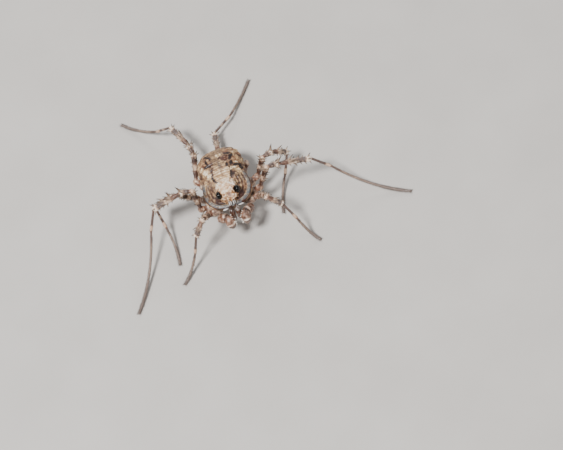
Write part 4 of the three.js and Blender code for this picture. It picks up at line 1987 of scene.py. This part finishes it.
@dataclass
class Studio:
    """The floor, the lights and the camera.

    Attributes:
        trunk: Where the trunk's points lie in the model.
        elevation: Degrees of the camera above the floor, in front of the animal.
        roll: Degrees that the picture is turned.
        distance: From the camera to its target.
        scale: Pixels of the photograph in a millimetre.
        frame_width: The photograph's width in pixels.
        aim: The frame's middle against the eyes' middle, in millimetres right and down in the picture.
        sensor: Width of the camera's sensor in millimetres.
        floor_half: Half the floor's width in metres.
        floor_drop: How far the floor lies under the feet in metres.
        lamps: The lamps.
        surround: Colour of the surround.
        glow: Strength of the surround.
    """

    trunk: Matrix
    elevation: float = 60.0
    roll: float = 21.0
    distance: float = 200.0
    scale: float = 10.5
    frame_width: float = 563.0
    aim: tuple[float, float] = (5.105, 3.133)
    sensor: float = 36.0
    floor_half: float = 0.6
    floor_drop: float = 0.00002
    lamps: tuple[Lamp, ...] = (
        Lamp("key", (-0.10, -0.07, 0.26), 0.06, 1.2),
        Lamp("fill", (0.24, -0.12, 0.16), 0.16, 0.18),
        Lamp("rim", (0.05, 0.26, 0.16), 0.12, 0.3),
    )
    surround: tuple[float, float, float, float] = (0.92, 0.95, 1.0, 1.0)
    glow: float = 0.26

    def camera(self) -> None:
        """Stand the camera in front of the animal, in its plane of symmetry, and roll it."""
        high, roll = math.radians(self.elevation), math.radians(self.roll)
        down = Vector((0, -math.sin(high), -math.cos(high)))
        level = Vector((1, 0, 0))
        right = level * math.cos(roll) + down * math.sin(roll)
        below = down * math.cos(roll) - level * math.sin(roll)
        back = Vector((0, -math.cos(high), math.sin(high)))
        target = self.trunk.translation + right * self.aim[0] + below * self.aim[1]
        spot = target + back * self.distance
        lens = bpy.data.cameras.new("view")
        lens.sensor_width = self.sensor
        lens.lens = self.sensor * self.distance * self.scale / self.frame_width
        lens.clip_start = 0.01
        lens.clip_end = 10
        camera = bpy.data.objects.new("view", lens)
        axes = Matrix((right, -below, back)).transposed().to_4x4()
        camera.matrix_world = Matrix.Translation(spot * MM) @ axes
        bpy.context.scene.collection.objects.link(camera)
        bpy.context.scene.camera = camera

    def floor(self) -> None:
        """Lay the plain pale floor."""
        form = bmesh.new()
        bmesh.ops.create_grid(form, x_segments=2, y_segments=2, size=self.floor_half)
        bmesh.ops.translate(form, vec=Vector((0, 0, -self.floor_drop)), verts=form.verts)
        mesh = bpy.data.meshes.new("floor")
        form.to_mesh(mesh)
        form.free()
        mesh.materials.append(FLOOR_PAPER.material())
        floor = bpy.data.objects.new("floor", mesh)
        bpy.context.scene.collection.objects.link(floor)

    def lights(self) -> None:
        """Hang the lamps and set the pale surround."""
        for lamp in self.lamps:
            lamp.hang()
        world = bpy.data.worlds.new("surround")
        world.use_nodes = True
        backdrop = world.node_tree.nodes["Background"]
        backdrop.inputs["Color"].default_value = self.surround
        backdrop.inputs["Strength"].default_value = self.glow
        bpy.context.scene.world = world

    def build(self) -> None:
        """Set the whole stage."""
        self.camera()
        self.floor()
        self.lights()


def main() -> None:
    """Build the stage and the animal, from the trunk out."""
    logging.basicConfig(level=logging.INFO, format="%(name)s %(message)s")
    trunk = Trunk().matrix()
    Studio(trunk).build()
    Body(trunk).build()
    EyeMound(trunk).build()
    Palps(trunk).build()
    for plan in LEG_PLANS:
        for side in Side:
            Leg(plan, side, trunk).build()


if __name__ == "__main__":
    main()
